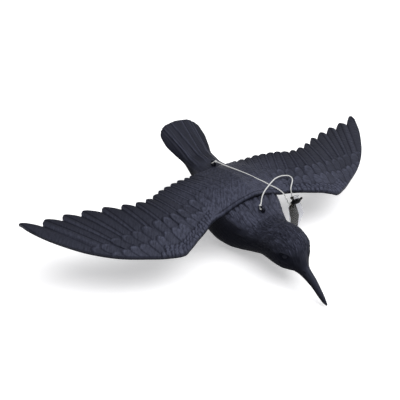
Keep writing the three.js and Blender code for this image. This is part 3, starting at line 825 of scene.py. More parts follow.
def upper_sheet():
    """Points and relief of one wing's upper side."""
    plain = panel_point(half_fan, top_rows)
    relief = wing_relief(half_fan, top_rows, plain)
    upper = plain.copy()
    upper[..., 2] += relief["height"]
    from_edge = np.hypot(plain[..., 0] - plain[:, :1, 0], plain[..., 1] - plain[:, :1, 1])
    inward = np.clip(1 - from_edge / EDGE_ROUND, 0, 1)
    upper[..., 2] -= EDGE_ROUND * (1 - np.sqrt(1 - inward**2))
    near_neck = smooth(BEAD["reach"], BEAD["reach"] - BEAD["fade"], plain[..., 0])
    ditch = hump(from_edge, *BEAD_GROOVE) * near_neck
    upper[..., 2] += near_neck * BEAD["height"] * hump(from_edge, BEAD["middle"], BEAD["width"])
    upper[..., 2] -= BEAD["height"] * ditch
    # Painted shade along the front edge and in the bead's groove, and a painted highlight on the bead.
    edge_shade = EDGE_SHADE * smooth(EDGE_SHADE_WIDTH, 0, from_edge)
    relief["painted_shade"] = np.maximum(relief["painted_shade"], BEAD_GROOVE_SHADE * ditch)
    relief["painted_shade"] = np.maximum(relief["painted_shade"], edge_shade)
    relief["crest"] = np.maximum(relief["crest"], near_neck * hump(from_edge, *BEAD_HIGHLIGHT))
    return upper, relief


upper, relief = upper_sheet()
print("relief up to", round(float(relief["height"].max()), 2), "mm over the plain sheet")

# %% [markdown]
# The underside is plainer, with faint feathers and the lip turned down, as a moulded sheet's is. A
# solidify modifier would be shorter, but it would give both sides the same relief and no lip. Both
# sides are then mirrored to the other wing.

# %% Lower sheet
UNDER_SHARE = 0.35
UNDER_END = (LAST_FEATHER, LAST_FEATHER - 1.5)
UNDER_FRONT_FADE = (0.1, 0.5)
UNDER_REAR_FADE = (1.05, 0.9)


def lower_sheet():
    """Points of one wing's underside."""
    lower = panel_point(half_fan, UNDER_ROWS)
    drop = np.full(lower.shape[:2], PANEL_THICKNESS)
    drop[:, 0] = lip_depth(lower[:, 0, 0])
    lower[..., 2] -= drop
    faint = feather_height(half_fan - np.floor(half_fan)) * smooth(*UNDER_END, half_fan)
    fade = smooth(*UNDER_FRONT_FADE, UNDER_ROWS) * smooth(*UNDER_REAR_FADE, UNDER_ROWS)
    lower[..., 2] += UNDER_SHARE * faint[:, None] * fade[None]
    return lower


def both_wings(columns):
    """The left wing's columns, then the same ones mirrored for the right wing."""
    mirror = columns[:-1][::-1].copy()
    if columns.ndim == 3:
        mirror[..., 0] *= -1
    return np.concatenate([columns, mirror])


upper_all = both_wings(upper)
lower_all = both_wings(lower_sheet())
print("both wings:", len(upper_all), "columns above and", len(lower_all), "below")

# %% [markdown]
# Both sheets are joined into one closed skin: a wall of faces along the front and the rear edge,
# and one face at each wing tip. A bridge tool would do it by hand. Written out, the faces follow
# from the point numbers. The barbs map tells the plastic which way the fine barbs run, rearwards
# and inwards on every vane. The other map holds the crests, paler partly as wear and partly as
# painted highlight, and the painted shade, which darkens the grooves and the underside.

# %% Wing panel mesh
WING_UNDER_PAINTED_SHADE = 0.7
BARB_TURN = math.radians(33)
SHARP_ANGLE = math.radians(55)

columns = len(upper_all)
top_count = upper_all.shape[1]
under_count = lower_all.shape[1]
under_start = columns * top_count
faces = grid_faces(columns, top_count, flip=True).tolist()
faces += grid_faces(columns, under_count, start=under_start).tolist()
for i in range(columns - 1):
    here = (i * top_count, under_start + i * under_count)
    there = (here[0] + top_count, here[1] + under_count)
    faces.append([here[0], there[0], there[1], here[1]])
    faces.append([here[0] + top_count - 1, here[1] + under_count - 1,
                  there[1] + under_count - 1, there[0] + top_count - 1])
for i, turn_over in ((0, False), (columns - 1, True)):
    top = [i * top_count + k for k in range(top_count)]
    under = [under_start + i * under_count + k for k in range(under_count)]
    rim = top + under[::-1]
    faces.append(rim if turn_over else rim[::-1])


def barb_map(points):
    """Place across and along the barbs."""
    x = np.abs(points[..., 0])
    y = points[..., 1]
    across = x * math.cos(BARB_TURN) + y * math.sin(BARB_TURN)
    along = y * math.cos(BARB_TURN) - x * math.sin(BARB_TURN)
    return np.stack([across, along], -1).reshape(-1, 2) / MAP_UNIT


wing_points = np.concatenate([upper_all.reshape(-1, 3), lower_all.reshape(-1, 3)])
masks = np.stack([both_wings(relief["crest"]), both_wings(relief["painted_shade"])], -1).reshape(-1, 2)
# The whole underside of the wing gets painted shade in the same mask, with no paler crests.
under_shade_masks = np.zeros((columns * under_count, 2))
under_shade_masks[:, 1] = WING_UNDER_PAINTED_SHADE
wing = make_piece(
    "wing_sheet", to_scene(wing_points), faces,
    {"barbs": barb_map(wing_points), "wear_and_painted_light": np.concatenate([masks, under_shade_masks])},
)
wing.data.set_sharp_from_angle(angle=SHARP_ANGLE)
print("wing sheet:", len(wing_points), "points,", columns, "columns")

# %% [markdown]
# The body is a hollow moulded shell. It is drawn as a lofted form: a closed ring at each place
# along it, from the bill tip over the head, the neck and the deep belly to the fanned tail. Each
# ring is a rounded box whose top, bottom, widest level, half width and squareness come from one
# table. It could be sculpted from a block, but sections can be measured and changed one by one.
# They are the solid's own, apart from the bill, which is fuller here.

# %% Body sections
BODY_SECTIONS = [
    [-247, -23.8, -25.5, -24.6, 0.9, 2], [-243, -20.9, -26.2, -23.5, 2.1, 2],
    [-235, -16.2, -24.4, -20, 3.4, 2], [-219, -8, -19.6, -13.4, 4.8, 2],
    [-203, -1.8, -18.6, -9.8, 6.4, 2], [-194, 8.8, -18.7, -4.6, 11, 2],
    [-186, 19.9, -21.9, -0.8, 18.4, 2], [-178, 24.2, -25.5, -0.5, 23.3, 2],
    [-162, 25.4, -29.6, -2.1, 26, 2], [-146, 20, -33.9, -6.9, 26, 2],
    [-130, 12, -41, -14.4, 30.4, 2.2], [-113, 10, -48, -19, 36.8, 2.8],
    [-105, 12.5, -51.5, -20, 41, 2.8], [-95, 16, -54.5, -20, 46, 2.6],
    [-80, 20.5, -58.5, -20, 49.5, 2.5], [-60, 20, -61, -20, 50, 2.4],
    [-40, 16.3, -59.5, -20, 46.5, 2.4], [-20, 10.5, -52.5, -19, 39, 2.4],
    [0, 4.2, -42, -17, 28.8, 2.3], [16, 1, -31.5, -14.5, 23.5, 2.3],
    [35, -2.3, -20.5, -12, 22.8, 2.3], [55, 1, -8.5, -8, 28.3, 2.3],
    [76, 5.3, -0.6, -2.7, 32.7, 2.3], [88, 7.8, 3, 1.3, 32.4, 2.3],
    [97, 9.6, 5.6, 5, 27.5, 2.3], [102, 10.8, 7.8, 8.4, 18, 2.3],
    [104.6, 11.3, 9.4, 10.3, 7, 2.2], [105.3, 11.3, 10.3, 10.8, 1.5, 2],
]
BODY_SPANS = [(-247, -205, 26), (-205, -150, 78), (-150, -88, 80), (-88, -4, 26), (-4, 40, 34),
              (40, 92, 42), (92, 102, 22), (102, 105.3, 16)]
BODY_SIDES = 240
DEEPEST_PLACE = -60
LEAST_LENGTH = 1e-9

body_top = through(BODY_SECTIONS, 1)
body_bottom = through(BODY_SECTIONS, 2)
body_side = through(BODY_SECTIONS, 3)
body_half = through(BODY_SECTIONS, 4)
body_square = through(BODY_SECTIONS, 5)
body_places = [np.linspace(a, b, count, endpoint=False) for a, b, count in BODY_SPANS]
body_places = np.concatenate(body_places + [[BODY_SPANS[-1][1]]])
print("body:", len(BODY_SECTIONS), "sections,", len(body_places), "rings")

# %% [markdown]
# The skin is a grid with its columns round the body and its rows along it. With it go the two
# measures that the feathers need: the outward direction, in which they stand up, and the distance
# over the back from its middle line. Blender could tell the normals of a finished mesh, but here
# they are needed before there is one.

# %% Plain skin of the body
body_angles = 2 * np.pi * np.arange(BODY_SIDES) / BODY_SIDES


def body_skin(places):
    """The plain body surface: one column per angle round it, one row per place along it."""
    y = np.broadcast_to(places, (BODY_SIDES, len(places)))
    power = 2 / body_square(places)
    across = np.cos(body_angles)[:, None]
    up = np.sin(body_angles)[:, None]
    x = body_half(places) * np.sign(across) * np.abs(across) ** power
    edge = np.where(up > 0, body_top(places), body_bottom(places))
    z = mix(body_side(places), edge, np.abs(up) ** power)
    return np.stack([x, y, z], -1)


def grid_normals(points):
    """Outward directions of a ring grid."""
    around = np.roll(points, -1, 0) - np.roll(points, 1, 0)
    along = np.gradient(points, axis=1)
    out = np.cross(along, around)
    return out / np.maximum(np.linalg.norm(out, axis=-1, keepdims=True), LEAST_LENGTH)


def arc_across(points):
    """Signed distance over the top of the body from its middle line, in millimetres."""
    step = np.linalg.norm(np.diff(points, axis=0, append=points[:1]), axis=-1)
    run = np.cumsum(step, axis=0) - step
    top = BODY_SIDES // 4
    from_top = run - run[top : top + 1]
    lower_right = np.arange(BODY_SIDES)[:, None] >= BODY_SIDES - top
    return -np.where(lower_right, from_top - step.sum(0, keepdims=True), from_top)


skin = body_skin(body_places)
outward = grid_normals(skin)
over_back = arc_across(skin)
belly_row = int(np.argmin(np.abs(body_places - DEEPEST_PLACE)))
print("belly points outward:", outward[BODY_SIDES * 3 // 4, belly_row].round(2).tolist())

# %% [markdown]
# The mantle behind the neck has long pointed feathers in rows, and the rump has short low ones.
# Both are the same leaves as on the wing, laid over the back by their distance from its middle
# line, so that they keep their width down the sides. Some mantle feathers are much paler than
# their neighbours. A texture could paint that, but then the paleness wouldn't follow the relief.

# %% Mantle and rump
MANTLE_ROWS = [
    {"y": -88, "half_width": 3.6, "length": 30, "pitch": 8.0, "reach": 46},
    {"y": -96, "half_width": 3.4, "length": 28, "pitch": 7.4, "reach": 46},
    {"y": -104, "half_width": 3.0, "length": 26, "pitch": 6.8, "reach": 46},
    {"y": -111, "half_width": 2.6, "length": 23, "pitch": 6.0, "reach": 48},
    {"y": -118, "half_width": 2.3, "length": 20, "pitch": 5.2, "reach": 48},
    {"y": -125, "half_width": 1.9, "length": 18, "pitch": 4.4, "reach": 48},
    {"y": -132, "half_width": 1.6, "length": 16, "pitch": 3.8, "reach": 46},
]
RUMP_ROWS = [
    {"y": 34, "half_width": 5.0, "length": 18, "pitch": 9.0, "reach": 22},
    {"y": 26, "half_width": 4.6, "length": 16, "pitch": 8.0, "reach": 24},
    {"y": 18, "half_width": 4.2, "length": 15, "pitch": 7.5, "reach": 26},
    {"y": 10, "half_width": 4.0, "length": 14, "pitch": 7.0, "reach": 28},
]
MANTLE_LEAF = {"lift": 0.5, "root_height": 0.15, "dome": 0.2, "point": 3.0, "ditch": 0.09,
               "rim": 0.35, "tone": 0.48, "streak": (0.8, 2.5), "lean": 0.012, "aside": 0}
RUMP_LEAF = {"lift": 0.22, "root_height": 0.15, "dome": 0.2, "point": 1.6, "ditch": 0.04,
             "rim": 0.15, "tone": 0.48, "streak": None, "lean": 0.006, "aside": 1}
BODY_LIFTS = (0.75, 1.2)
BODY_SHIFT = 2.6
SHIFT_ACROSS = 0.4
ROW_BEND = 0.1


def streaked(streak, rng):
    """A factor for one leaf's tone: mostly near the lower value, now and then near the upper."""
    return mix(*streak, rng.uniform(0, 1) ** 2)


def lay_body_rows(sheet, rng, rows, leaf):
    """Lays rows of leaves across the back, every other row half a pitch aside."""
    for number, row in enumerate(rows, leaf["aside"]):
        first = row["pitch"] / 2 * (number % 2)
        for place in np.arange(-row["reach"] + first, row["reach"], row["pitch"]):
            shift = rng.uniform(-BODY_SHIFT, BODY_SHIFT, 2)
            tip = (place + SHIFT_ACROSS * shift[0], row["y"] + shift[1] - ROW_BEND * abs(place))
            own = leaf | row | {"tip_height": rng.uniform(*BODY_LIFTS) * leaf["lift"]}
            tone = leaf["tone"] * (streaked(leaf["streak"], rng) if leaf["streak"] else 1)
            lay_leaf(sheet, tip, leaf["lean"] * place, own, tone)


print("rows of body feathers:", len(MANTLE_ROWS), "on the mantle,", len(RUMP_ROWS), "on the rump")

# %% [markdown]
# The head and the neck are covered with fine combed strokes. Noise in the material gives an even
# hatching, but the real strokes are long, overlap, and catch the light one by one. So each stroke
# is a long thin leaf with a tone of its own, laid from the neck forward.

# %% Combed strokes of the head
HEAD_STROKES = {"rear": -124, "front": -192, "reach": 52, "count": 1500, "lean": 0.011,
                "turn": 0.05}
HEAD_LEAF = {"half_width": 0.85, "length": 16, "tip_height": 0.4, "root_height": 0.12,
             "dome": 0.08, "point": 3.0, "ditch": 0.15, "rim": 0.1, "edge": 0.5}
HEAD_SIZES = (0.75, 1.25)
HEAD_TONES = (0.6, 0.44)
HEAD_TONE_FADE = (-122, -150)
HEAD_STREAK = (0.38, 3.0)


def lay_head_strokes(sheet, rng):
    """Scatters the combed strokes over the head."""
    comb = HEAD_STROKES
    places = np.sort(rng.uniform(comb["front"], comb["rear"], comb["count"]))[::-1]
    for y, over in zip(places, rng.uniform(-comb["reach"], comb["reach"], len(places))):
        size = rng.uniform(*HEAD_SIZES)
        lean = comb["lean"] * over + rng.uniform(-comb["turn"], comb["turn"])
        # Strokes toward the nape are paler as painted light; each stroke's own tone also varies at
        # random.
        tone = streaked(HEAD_STREAK, rng) * mix(*HEAD_TONES, smooth(*HEAD_TONE_FADE, y))
        own = sized(HEAD_LEAF, size, tip_height=HEAD_LEAF["tip_height"] * size)
        lay_leaf(sheet, (over, y), lean, own, tone)


print("head strokes:", HEAD_STROKES["count"])

# %% [markdown]
# The tail is five broad feathers that overlap like a hand of cards, the middle one on top. Each
# has a ridge along its shaft and a slight bow. They could be five bent strips, but the real tail
# is one wall with the body, so they are steps in its relief, with a line of painted shade beside
# each edge. Its steep sides get painted shade too, toward the root.

# %% Tail feathers
TAIL_LEAVES = [
    {"half_width": 12.0, "shaft": [[0, 20.5], [38, 20.5], [60, 23.5], [105, 28.0]]},
    {"half_width": 14.0, "shaft": [[0, 11.5], [36, 13.0], [70, 15.5], [105, 18.0]],
     "edge": [[0, 16.0], [40, 17.0], [75, 21.0], [105, 25.0]]},
    {"half_width": 8.0, "shaft": [[0, 0], [105, 0]],
     "edge": [[0, 2.8], [40, 4.0], [75, 6.8], [105, 9.4]]},
]
TAIL_STEP = 0.92
TAIL_STEP_RUN = (0.5, -0.5)
TAIL_BOW = 0.5
TAIL_RIDGE = {"height": 0.45, "width": 1.1}
TAIL_SHADE_LINE = {"aside": 0.9, "width": 0.8, "tone": 0.4, "depth": 0.25}
TAIL_RIM = {"aside": -1.0, "width": 1.0, "tone": 0.6}
TAIL_SHAFT_CREST = {"width": 0.9, "tone": 0.35}
TAIL_SIDE_SHADE = {"shade": 0.4, "run": (0, 5), "fade": (100, 55)}


def tail_relief(x, y):
    """Height, crest and painted shade of the five tail feathers on the tail's upper side."""
    side = np.abs(x)
    edges = [through(leaf["edge"])(y) for leaf in TAIL_LEAVES[1:]]
    covers = [1] + [smooth(*TAIL_STEP_RUN, side - edge) for edge in edges]
    height = np.zeros_like(x)
    for level, (leaf, cover) in enumerate(zip(TAIL_LEAVES, covers)):
        shaft = through(leaf["shaft"])(y)
        bow = TAIL_BOW * (1 - np.clip((side - shaft) / leaf["half_width"], -1, 1) ** 2)
        ridge = TAIL_RIDGE["height"] * hump(side, shaft, TAIL_RIDGE["width"])
        height = mix(height, TAIL_STEP * level + bow + ridge, cover)
    lines = sum(hump(side, edge + TAIL_SHADE_LINE["aside"], TAIL_SHADE_LINE["width"]) for edge in edges)
    rims = sum(hump(side, edge + TAIL_RIM["aside"], TAIL_RIM["width"]) for edge in edges)
    outside = smooth(*TAIL_SIDE_SHADE["run"], side - edges[0]) * smooth(*TAIL_SIDE_SHADE["fade"], y)
    # The dark lines beside the feather edges and the darker steep sides are painted shade.
    painted_shade = TAIL_SHADE_LINE["tone"] * lines + TAIL_SIDE_SHADE["shade"] * outside
    shaft = through(TAIL_LEAVES[1]["shaft"])(y)
    crest = TAIL_RIM["tone"] * rims
    crest += TAIL_SHAFT_CREST["tone"] * hump(side, shaft, TAIL_SHAFT_CREST["width"])
    height -= TAIL_SHADE_LINE["depth"] * painted_shade
    return height, np.clip(crest, 0, 1), np.clip(painted_shade, 0, 1)


print("tail steps up by", TAIL_STEP, "mm a feather")

# %% [markdown]
# The eyes sit in shallow almond hollows with a low lid round them. Painted shade fills the hollows
# and the lores, which run from there to the bill, and the lid has a faint painted highlight. The
# bill is smooth, with a slit of a nostril on each side and a mouth line, both darkened with painted
# shade.
# Cutting them with booleans would leave hard rims. As ovals of depth they fade into the skin.

# %% Eye hollows, lores and bill
EYE = {"y": -181.5, "z": 5.6, "along": 9.2, "up": 5.3, "depth": 1.35, "reach": 20, "side": 8}
EYE_SLOPE = (1.0, 0.55)
LID = {"middle": 1.08, "width": 0.2, "height": 0.05, "tone": 0.08}
LORES = {"y": -188.5, "z": 3.5, "along": 16.0, "up": 11.0, "shade": 0.8, "side": 6}
NOSTRIL = {"y": -205.5, "z": -6.2, "along": 2.6, "up": 1.0, "depth": 0.8, "side": 1}
SPOT_SLOPE = (1.0, 0.3)
MOUTH = {"level": 0.3, "width": 0.45, "depth": 0.45, "shade": 0.8}
MOUTH_CORNER = (-189, -196)
MOUTH_TIP = (-246, -242)
BILL_TONE = 0.1
BILL_ROOT = (-197, -207)


def oval(y, z, spot):
    """Distance from a spot on the side of the head, which is 1 on its oval rim."""
    return np.hypot((y - spot["y"]) / spot["along"], (z - spot["z"]) / spot["up"])


def head_relief(points, height, crest, painted_shade):
    """The body's height, crest and painted shade with the eye hollows, lores and bill worked in."""
    x, y, z = np.moveaxis(points, -1, 0)
    side = np.abs(x)
    by_eye = (np.abs(y - EYE["y"]) < EYE["reach"]) & (side > EYE["side"])
    hollow = oval(y, z, EYE)
    sunk = smooth(*EYE_SLOPE, hollow) * by_eye
    lid = hump(hollow, LID["middle"], LID["width"]) * by_eye
    height = height + (LID["height"] * lid - EYE["depth"] * sunk)
    lores = smooth(*SPOT_SLOPE, oval(y, z, LORES)) * (side > LORES["side"])
    nostril = smooth(*SPOT_SLOPE, oval(y, z, NOSTRIL)) * (side > NOSTRIL["side"])
    mouth_line = mix(body_side(y), body_bottom(y), MOUTH["level"])
    mouth = hump(z, mouth_line, MOUTH["width"])
    mouth = mouth * smooth(*MOUTH_CORNER, y) * smooth(*MOUTH_TIP, y)
    height = height - (NOSTRIL["depth"] * nostril + MOUTH["depth"] * mouth)
    # Painted shade in the eye hollows, the lores, the nostrils and the mouth line; a painted highlight
    # on the lid.
    for dark in (LORES["shade"] * lores, sunk, nostril, MOUTH["shade"] * mouth):
        painted_shade = np.maximum(painted_shade, dark)
    for pale in (LID["tone"] * lid, BILL_TONE * smooth(*BILL_ROOT, y)):
        crest = np.maximum(crest, pale)
    return height, crest, painted_shade


print("eye hollow at", (EYE["y"], EYE["z"]), "nostril at", (NOSTRIL["y"], NOSTRIL["z"]))

# %% [markdown]
# All of this is height along the outward direction of the plain skin, with the same two masks as
# on the wing. The leaves are faded out where the body is smooth: under the wing, on the belly and
# on the bill. Sides that turn down get painted shade, darker and less glossy, since they lie in
# shade under the lamps. Painting the masks by hand would do as well, but not the same way each
# time.

# %% Relief of the whole body
LEAFY_SIDES = (-0.75, -0.35)
MANTLE_FRONT = (-198, -190)
MANTLE_REAR = (-80, -88)
RUMP_SHARE = 0.32
RUMP_FRONT = (-4, 2)
RUMP_REAR = (44, 30)
TAIL_ROOT = (9.0, 26.0)
TAIL_UPPER = (-0.1, 0.25)
TAIL_END = (105.3, 101)
UNDER_BODY_PAINTED_SHADE = {"shade": 0.92, "turn": (0.9, 0.0), "power": 1.2}


def body_relief(points, outward):
    """Height, crest and painted shade of the whole body."""
    x, y, z = np.moveaxis(points, -1, 0)
    up = outward[..., 2]
    sheet = {"x": over_back, "y": y, "height": np.zeros_like(x), "crest": np.zeros_like(x),
             "painted_shade": np.zeros_like(x)}
    rng = np.random.default_rng(SEED)
    lay_body_rows(sheet, rng, MANTLE_ROWS, MANTLE_LEAF)
    lay_body_rows(sheet, rng, RUMP_ROWS, RUMP_LEAF)
    lay_head_strokes(sheet, rng)
    rump = RUMP_SHARE * smooth(*RUMP_REAR, y) * smooth(*RUMP_FRONT, y)
    mantle = smooth(*MANTLE_FRONT, y) * smooth(*MANTLE_REAR, y)
    leafy = np.clip(rump + mantle, 0, 1) * smooth(*LEAFY_SIDES, up)
    tail_height, tail_crest, tail_painted_shade = tail_relief(x, y)
    tail = smooth(*TAIL_ROOT, y) * smooth(*TAIL_UPPER, up)
    end = smooth(*TAIL_END, y)
    height = mix(sheet["height"] * leafy, tail_height * end, tail)
    crest = mix(sheet["crest"] * leafy, tail_crest, tail)
    painted_shade = mix(sheet["painted_shade"] * leafy, tail_painted_shade * end, tail)
    height, crest, painted_shade = head_relief(points, height, crest, painted_shade)
    # Painted shade on the sides that turn down: darker colour and less gloss.
    under = UNDER_BODY_PAINTED_SHADE["shade"] * smooth(*UNDER_BODY_PAINTED_SHADE["turn"], up) ** UNDER_BODY_PAINTED_SHADE["power"]
    return height, crest * (1 - under), np.maximum(painted_shade, under)


body_height, body_crest, body_painted_shade = body_relief(skin, outward)
formed = skin + outward * body_height[..., None]
print("body relief from", round(float(body_height.min()), 2), "to",
      round(float(body_height.max()), 2), "mm")

# %% [markdown]
# The body seats the wing panel. Where the panel lies over it, each point of the body is lowered
# to just under the sheet, which is found by looking straight down on the panel's underside. A
# boolean cut would do the same, but it would break up the even grid. The belly ends in the small
# flat spot that it rests on, at height zero.

# %% Body mesh
SEAT_GAP = 0.35
SEAT_HALF = 62.0
SEAT_RANGE = (-100, 0)
HIGH_OVER_BIRD = 200.0

under_tree = BVHTree.FromPolygons(
    lower_all.reshape(-1, 3).tolist(), grid_faces(columns, under_count).tolist()
)
seated = formed.reshape(-1, 3).copy()
lowered = 0
for i, (x, y, z) in enumerate(seated.tolist()):
    if abs(x) < SEAT_HALF and SEAT_RANGE[0] < y < SEAT_RANGE[1]:
        hit = under_tree.ray_cast((x, y, HIGH_OVER_BIRD), (0, 0, -1))[0]
        if hit is not None and z > hit[2] - SEAT_GAP:
            seated[i, 2] = hit[2] - SEAT_GAP
            lowered += 1
body_points = to_scene(seated)
body_points[:, 2] = np.maximum(body_points[:, 2], 0)
rows = len(body_places)
body_faces = grid_faces(BODY_SIDES, rows, ring=True, flip=True).tolist()
body_faces.append([i * rows for i in range(BODY_SIDES)])
body_faces.append([i * rows + rows - 1 for i in reversed(range(BODY_SIDES))])
combed = np.stack([over_back, skin[..., 1]], -1).reshape(-1, 2) / MAP_UNIT
body_masks = np.stack([body_crest, body_painted_shade], -1).reshape(-1, 2)
body = make_piece("body_shell", body_points, body_faces, {"barbs": combed, "wear_and_painted_light": body_masks})
print("body:", len(body_points), "points,", lowered, "lowered under the wing panel")

# %% [markdown]
# The eyes are plain domes of the same dark plastic, with no pupil, darkened all over with painted
# shade. Blender's own sphere would do, but this one comes with the maps that the plastic reads.

# %% Eyes
EYE_BALL = {"x": 17.1, "behind": 0.5, "below": 0.6, "radius": 3.6, "steps": 28, "shade": 0.6}


def eye_ball(name, side):
    """One eyeball as a fine sphere, on the left for side 1 and on the right for side -1."""
    steps = EYE_BALL["steps"]
    angle = 2 * np.pi * np.arange(steps) / steps
    lift = np.pi * (np.arange(steps + 1) / steps - 0.5)
    ring = np.stack([
        np.cos(angle)[:, None] * np.cos(lift)[None],
        np.sin(angle)[:, None] * np.cos(lift)[None],
        np.broadcast_to(np.sin(lift), (steps, steps + 1)),
    ], -1) * EYE_BALL["radius"]
    middle = np.array([side * EYE_BALL["x"], EYE["y"] + EYE_BALL["behind"],
                       EYE["z"] - EYE_BALL["below"]])
    points = ring.reshape(-1, 3) + middle
    zeros = np.zeros((len(points), 2))
    # Painted shade over the whole eyeball.
    shade = np.tile([0.0, EYE_BALL["shade"]], (len(points), 1))
    return make_piece(name, to_scene(points), grid_faces(steps, steps + 1, ring=True),
                      {"barbs": zeros, "wear_and_painted_light": shade})


eyes = [eye_ball("eye_left", 1), eye_ball("eye_right", -1)]
print("eyes", 2 * EYE_BALL["radius"], "mm across")

# %% [markdown]
# The lugs are small upright tabs, moulded on the back, with round tops and a hole across them for
# the cord. A cylinder could be cut from a box. Drawing the outline with the hole as a second ring
# inside it gives clean faces instead, and a bevel softens the edges.

# %% Cord lugs
LUG_STEPS = 21
LUG_BEVEL = {"width": 0.7, "segments": 3}


def cord_lug(name, lug):
    """One tab with its hole, standing on the back along the middle line."""
    size = LUG_SIZE
    half = size["width"] / 2
    arch = np.linspace(0, np.pi, LUG_STEPS)
    outline = [[half * math.cos(a), size["height"] - half + half * math.sin(a)] for a in arch]
    outline = np.array([[half, -size["sunk"]]] + outline + [[-half, -size["sunk"]]])
    middle = np.array([0, size["height"] - half])
    aim = outline - middle
    ring = middle + size["hole"] * aim / np.linalg.norm(aim, axis=1)[:, None]
    count = len(outline)
    layers = []
    for x in (-size["thickness"] / 2, size["thickness"] / 2):
        for flat in (outline, ring):
            layers.append(np.column_stack([np.full(count, x), lug["y"] + flat[:, 0],
                                           lug["foot"] + flat[:, 1]]))
    faces = []
    left_out, left_in, right_out, right_in = (n * count for n in range(4))
    for i in range(count):
        j = (i + 1) % count
        faces += [[left_out + i, left_out + j, left_in + j, left_in + i],
                  [right_out + j, right_out + i, right_in + i, right_in + j],
                  [left_out + j, left_out + i, right_out + i, right_out + j],
                  [left_in + i, left_in + j, right_in + j, right_in + i]]
    points = np.concatenate(layers)
    zeros = np.zeros((len(points), 2))
    piece = make_piece(name, to_scene(points), faces, {"barbs": zeros, "wear_and_painted_light": zeros})
    bevel = piece.modifiers.new("soft_edges", "BEVEL")
    bevel.width = LUG_BEVEL["width"] * MM
    bevel.segments = LUG_BEVEL["segments"]
    bevel.limit_method = "ANGLE"
    return piece


lugs = [cord_lug("lug_nape", NAPE_LUG), cord_lug("lug_rump", RUMP_LUG)]
print("lugs", LUG_SIZE["height"], "mm high, holes", 2 * LUG_SIZE["hole"], "mm wide")

# %% [markdown]
# The pouch is a small bag of clear film, gathered over a folded slip by a black tie and hung from
# the cord's knot. It is lofted from the same rings as the solid. A cloth simulation could crumple
# a bag, but it would settle differently each time and is hard to match to a picture.

# %% Loft through the pouch's rings
POUCH_MIDDLE = (63.0, -34.9)
POUCH_TURN = math.radians(-32.6)
POUCH_RINGS = [
    [56, -3, 6.4, 2.6, 24], [53, -1.8, 5.0, 2.0, 24], [49.8, -0.4, 3.9, 1.0, 23],
    [47.6, 0.2, 3.9, 1.0, 22], [42, -0.6, 8.6, 2.6, 12], [38, -0.1, 9.6, 3, 6], [30, 2, 9.8, 3.1, 2],
    [20, 1.4, 8, 2.8, 0], [9, 0.9, 7, 2.4, 0], [3, 0.7, 6.6, 1.8, 0], [1.5, 0.7, 5.6, 0.9, 0],
]
WAVE_ACROSS = 0.5


def beside_pouch(across, deep, height):
    """A place by the pouch's middle line, in scene metres."""
    cos = math.cos(POUCH_TURN)
    sin = math.sin(POUCH_TURN)
    x = POUCH_MIDDLE[0] + across * cos - deep * sin
    y = POUCH_MIDDLE[1] + across * sin + deep * cos
    return np.stack([x, y, height + 0 * x], -1) * MM


def pouch_loft(rings, sides, rows, ripple, inset=0.0, square=2.0):
    """Points of a loft through rings of level, shift, width, depth and tilt, one column per side
    and one row per level. ripple gives the wave of the skin at each angle and level."""
    table = np.asarray(rings, float)[::-1]
    levels = np.linspace(table[0, 0], table[-1, 0], rows)
    shift, width, depth, tilt = (through(table, k)(levels) for k in range(1, 5))
    lean = np.radians(tilt)
    angle = (2 * np.pi * np.arange(sides) / sides)[:, None]
    wave = ripple(angle, levels)
    flat_cos = np.sign(np.cos(angle)) * np.abs(np.cos(angle)) ** (2 / square)
    flat_sin = np.sign(np.sin(angle)) * np.abs(np.sin(angle)) ** (2 / square)
    across = (width - inset + WAVE_ACROSS * wave) * flat_cos
    deep = (depth - inset + wave) * flat_sin
    return beside_pouch(shift + across * np.cos(lean), deep, levels + across * np.sin(lean))


print("pouch middle line at", beside_pouch(0.0, 0.0, 0.0).round(4).tolist())

# %% [markdown]
# The film's creases are shallow waves: sharp folds that spread from the tie, and soft dents in
# the open bag below it. Bump alone would leave the bag's outline smooth. The film has an outer and
# an inner skin, so that light passes through it as through a thin sheet and not a solid block.

# %% Film
FILM_SIDES = 96
FILM_ROWS = 90
FILM_WALL = 0.3
FILM_INSET = 0.3
NECK_LEVEL = 48.7
FOLD_FADE = 9
FILM_CREASE = 0.55
FOLD_SHARE = 0.55
DENT_SHARE = 0.5
FOLDS = ({"size": 1.0, "around": 9, "climb": 0.12, "start": 0.0},
         {"size": 0.6, "around": 15, "climb": -0.2, "start": 1.1})
DENTS = ({"size": 1.0, "around": 3, "climb": 0.33, "start": 0.0},
         {"size": 1.0, "around": 2, "climb": 0.21, "start": 0.7})
BAG_TOP = (45, 36)
BAG_FOOT = (2, 10)


def wave(kind, angle, levels):
    """A wave that runs round the bag and climbs it."""
    return kind["size"] * np.sin(kind["around"] * angle + kind["climb"] * levels + kind["start"])


def film_creases(angle, levels):
    """Folds that spread down and up from the tie, and soft dents in the bag below it."""
    gather = np.exp(-np.abs(levels - NECK_LEVEL) / FOLD_FADE)
    folds = wave(FOLDS[0], angle, levels) + wave(FOLDS[1], angle, levels)
    dents = wave(DENTS[0], angle, levels) * wave(DENTS[1], angle, levels)
    open_bag = smooth(*BAG_TOP, levels) * smooth(*BAG_FOOT, levels)
    creased = FOLD_SHARE * folds * gather + DENT_SHARE * dents * open_bag
    return FILM_CREASE * creased - FILM_INSET


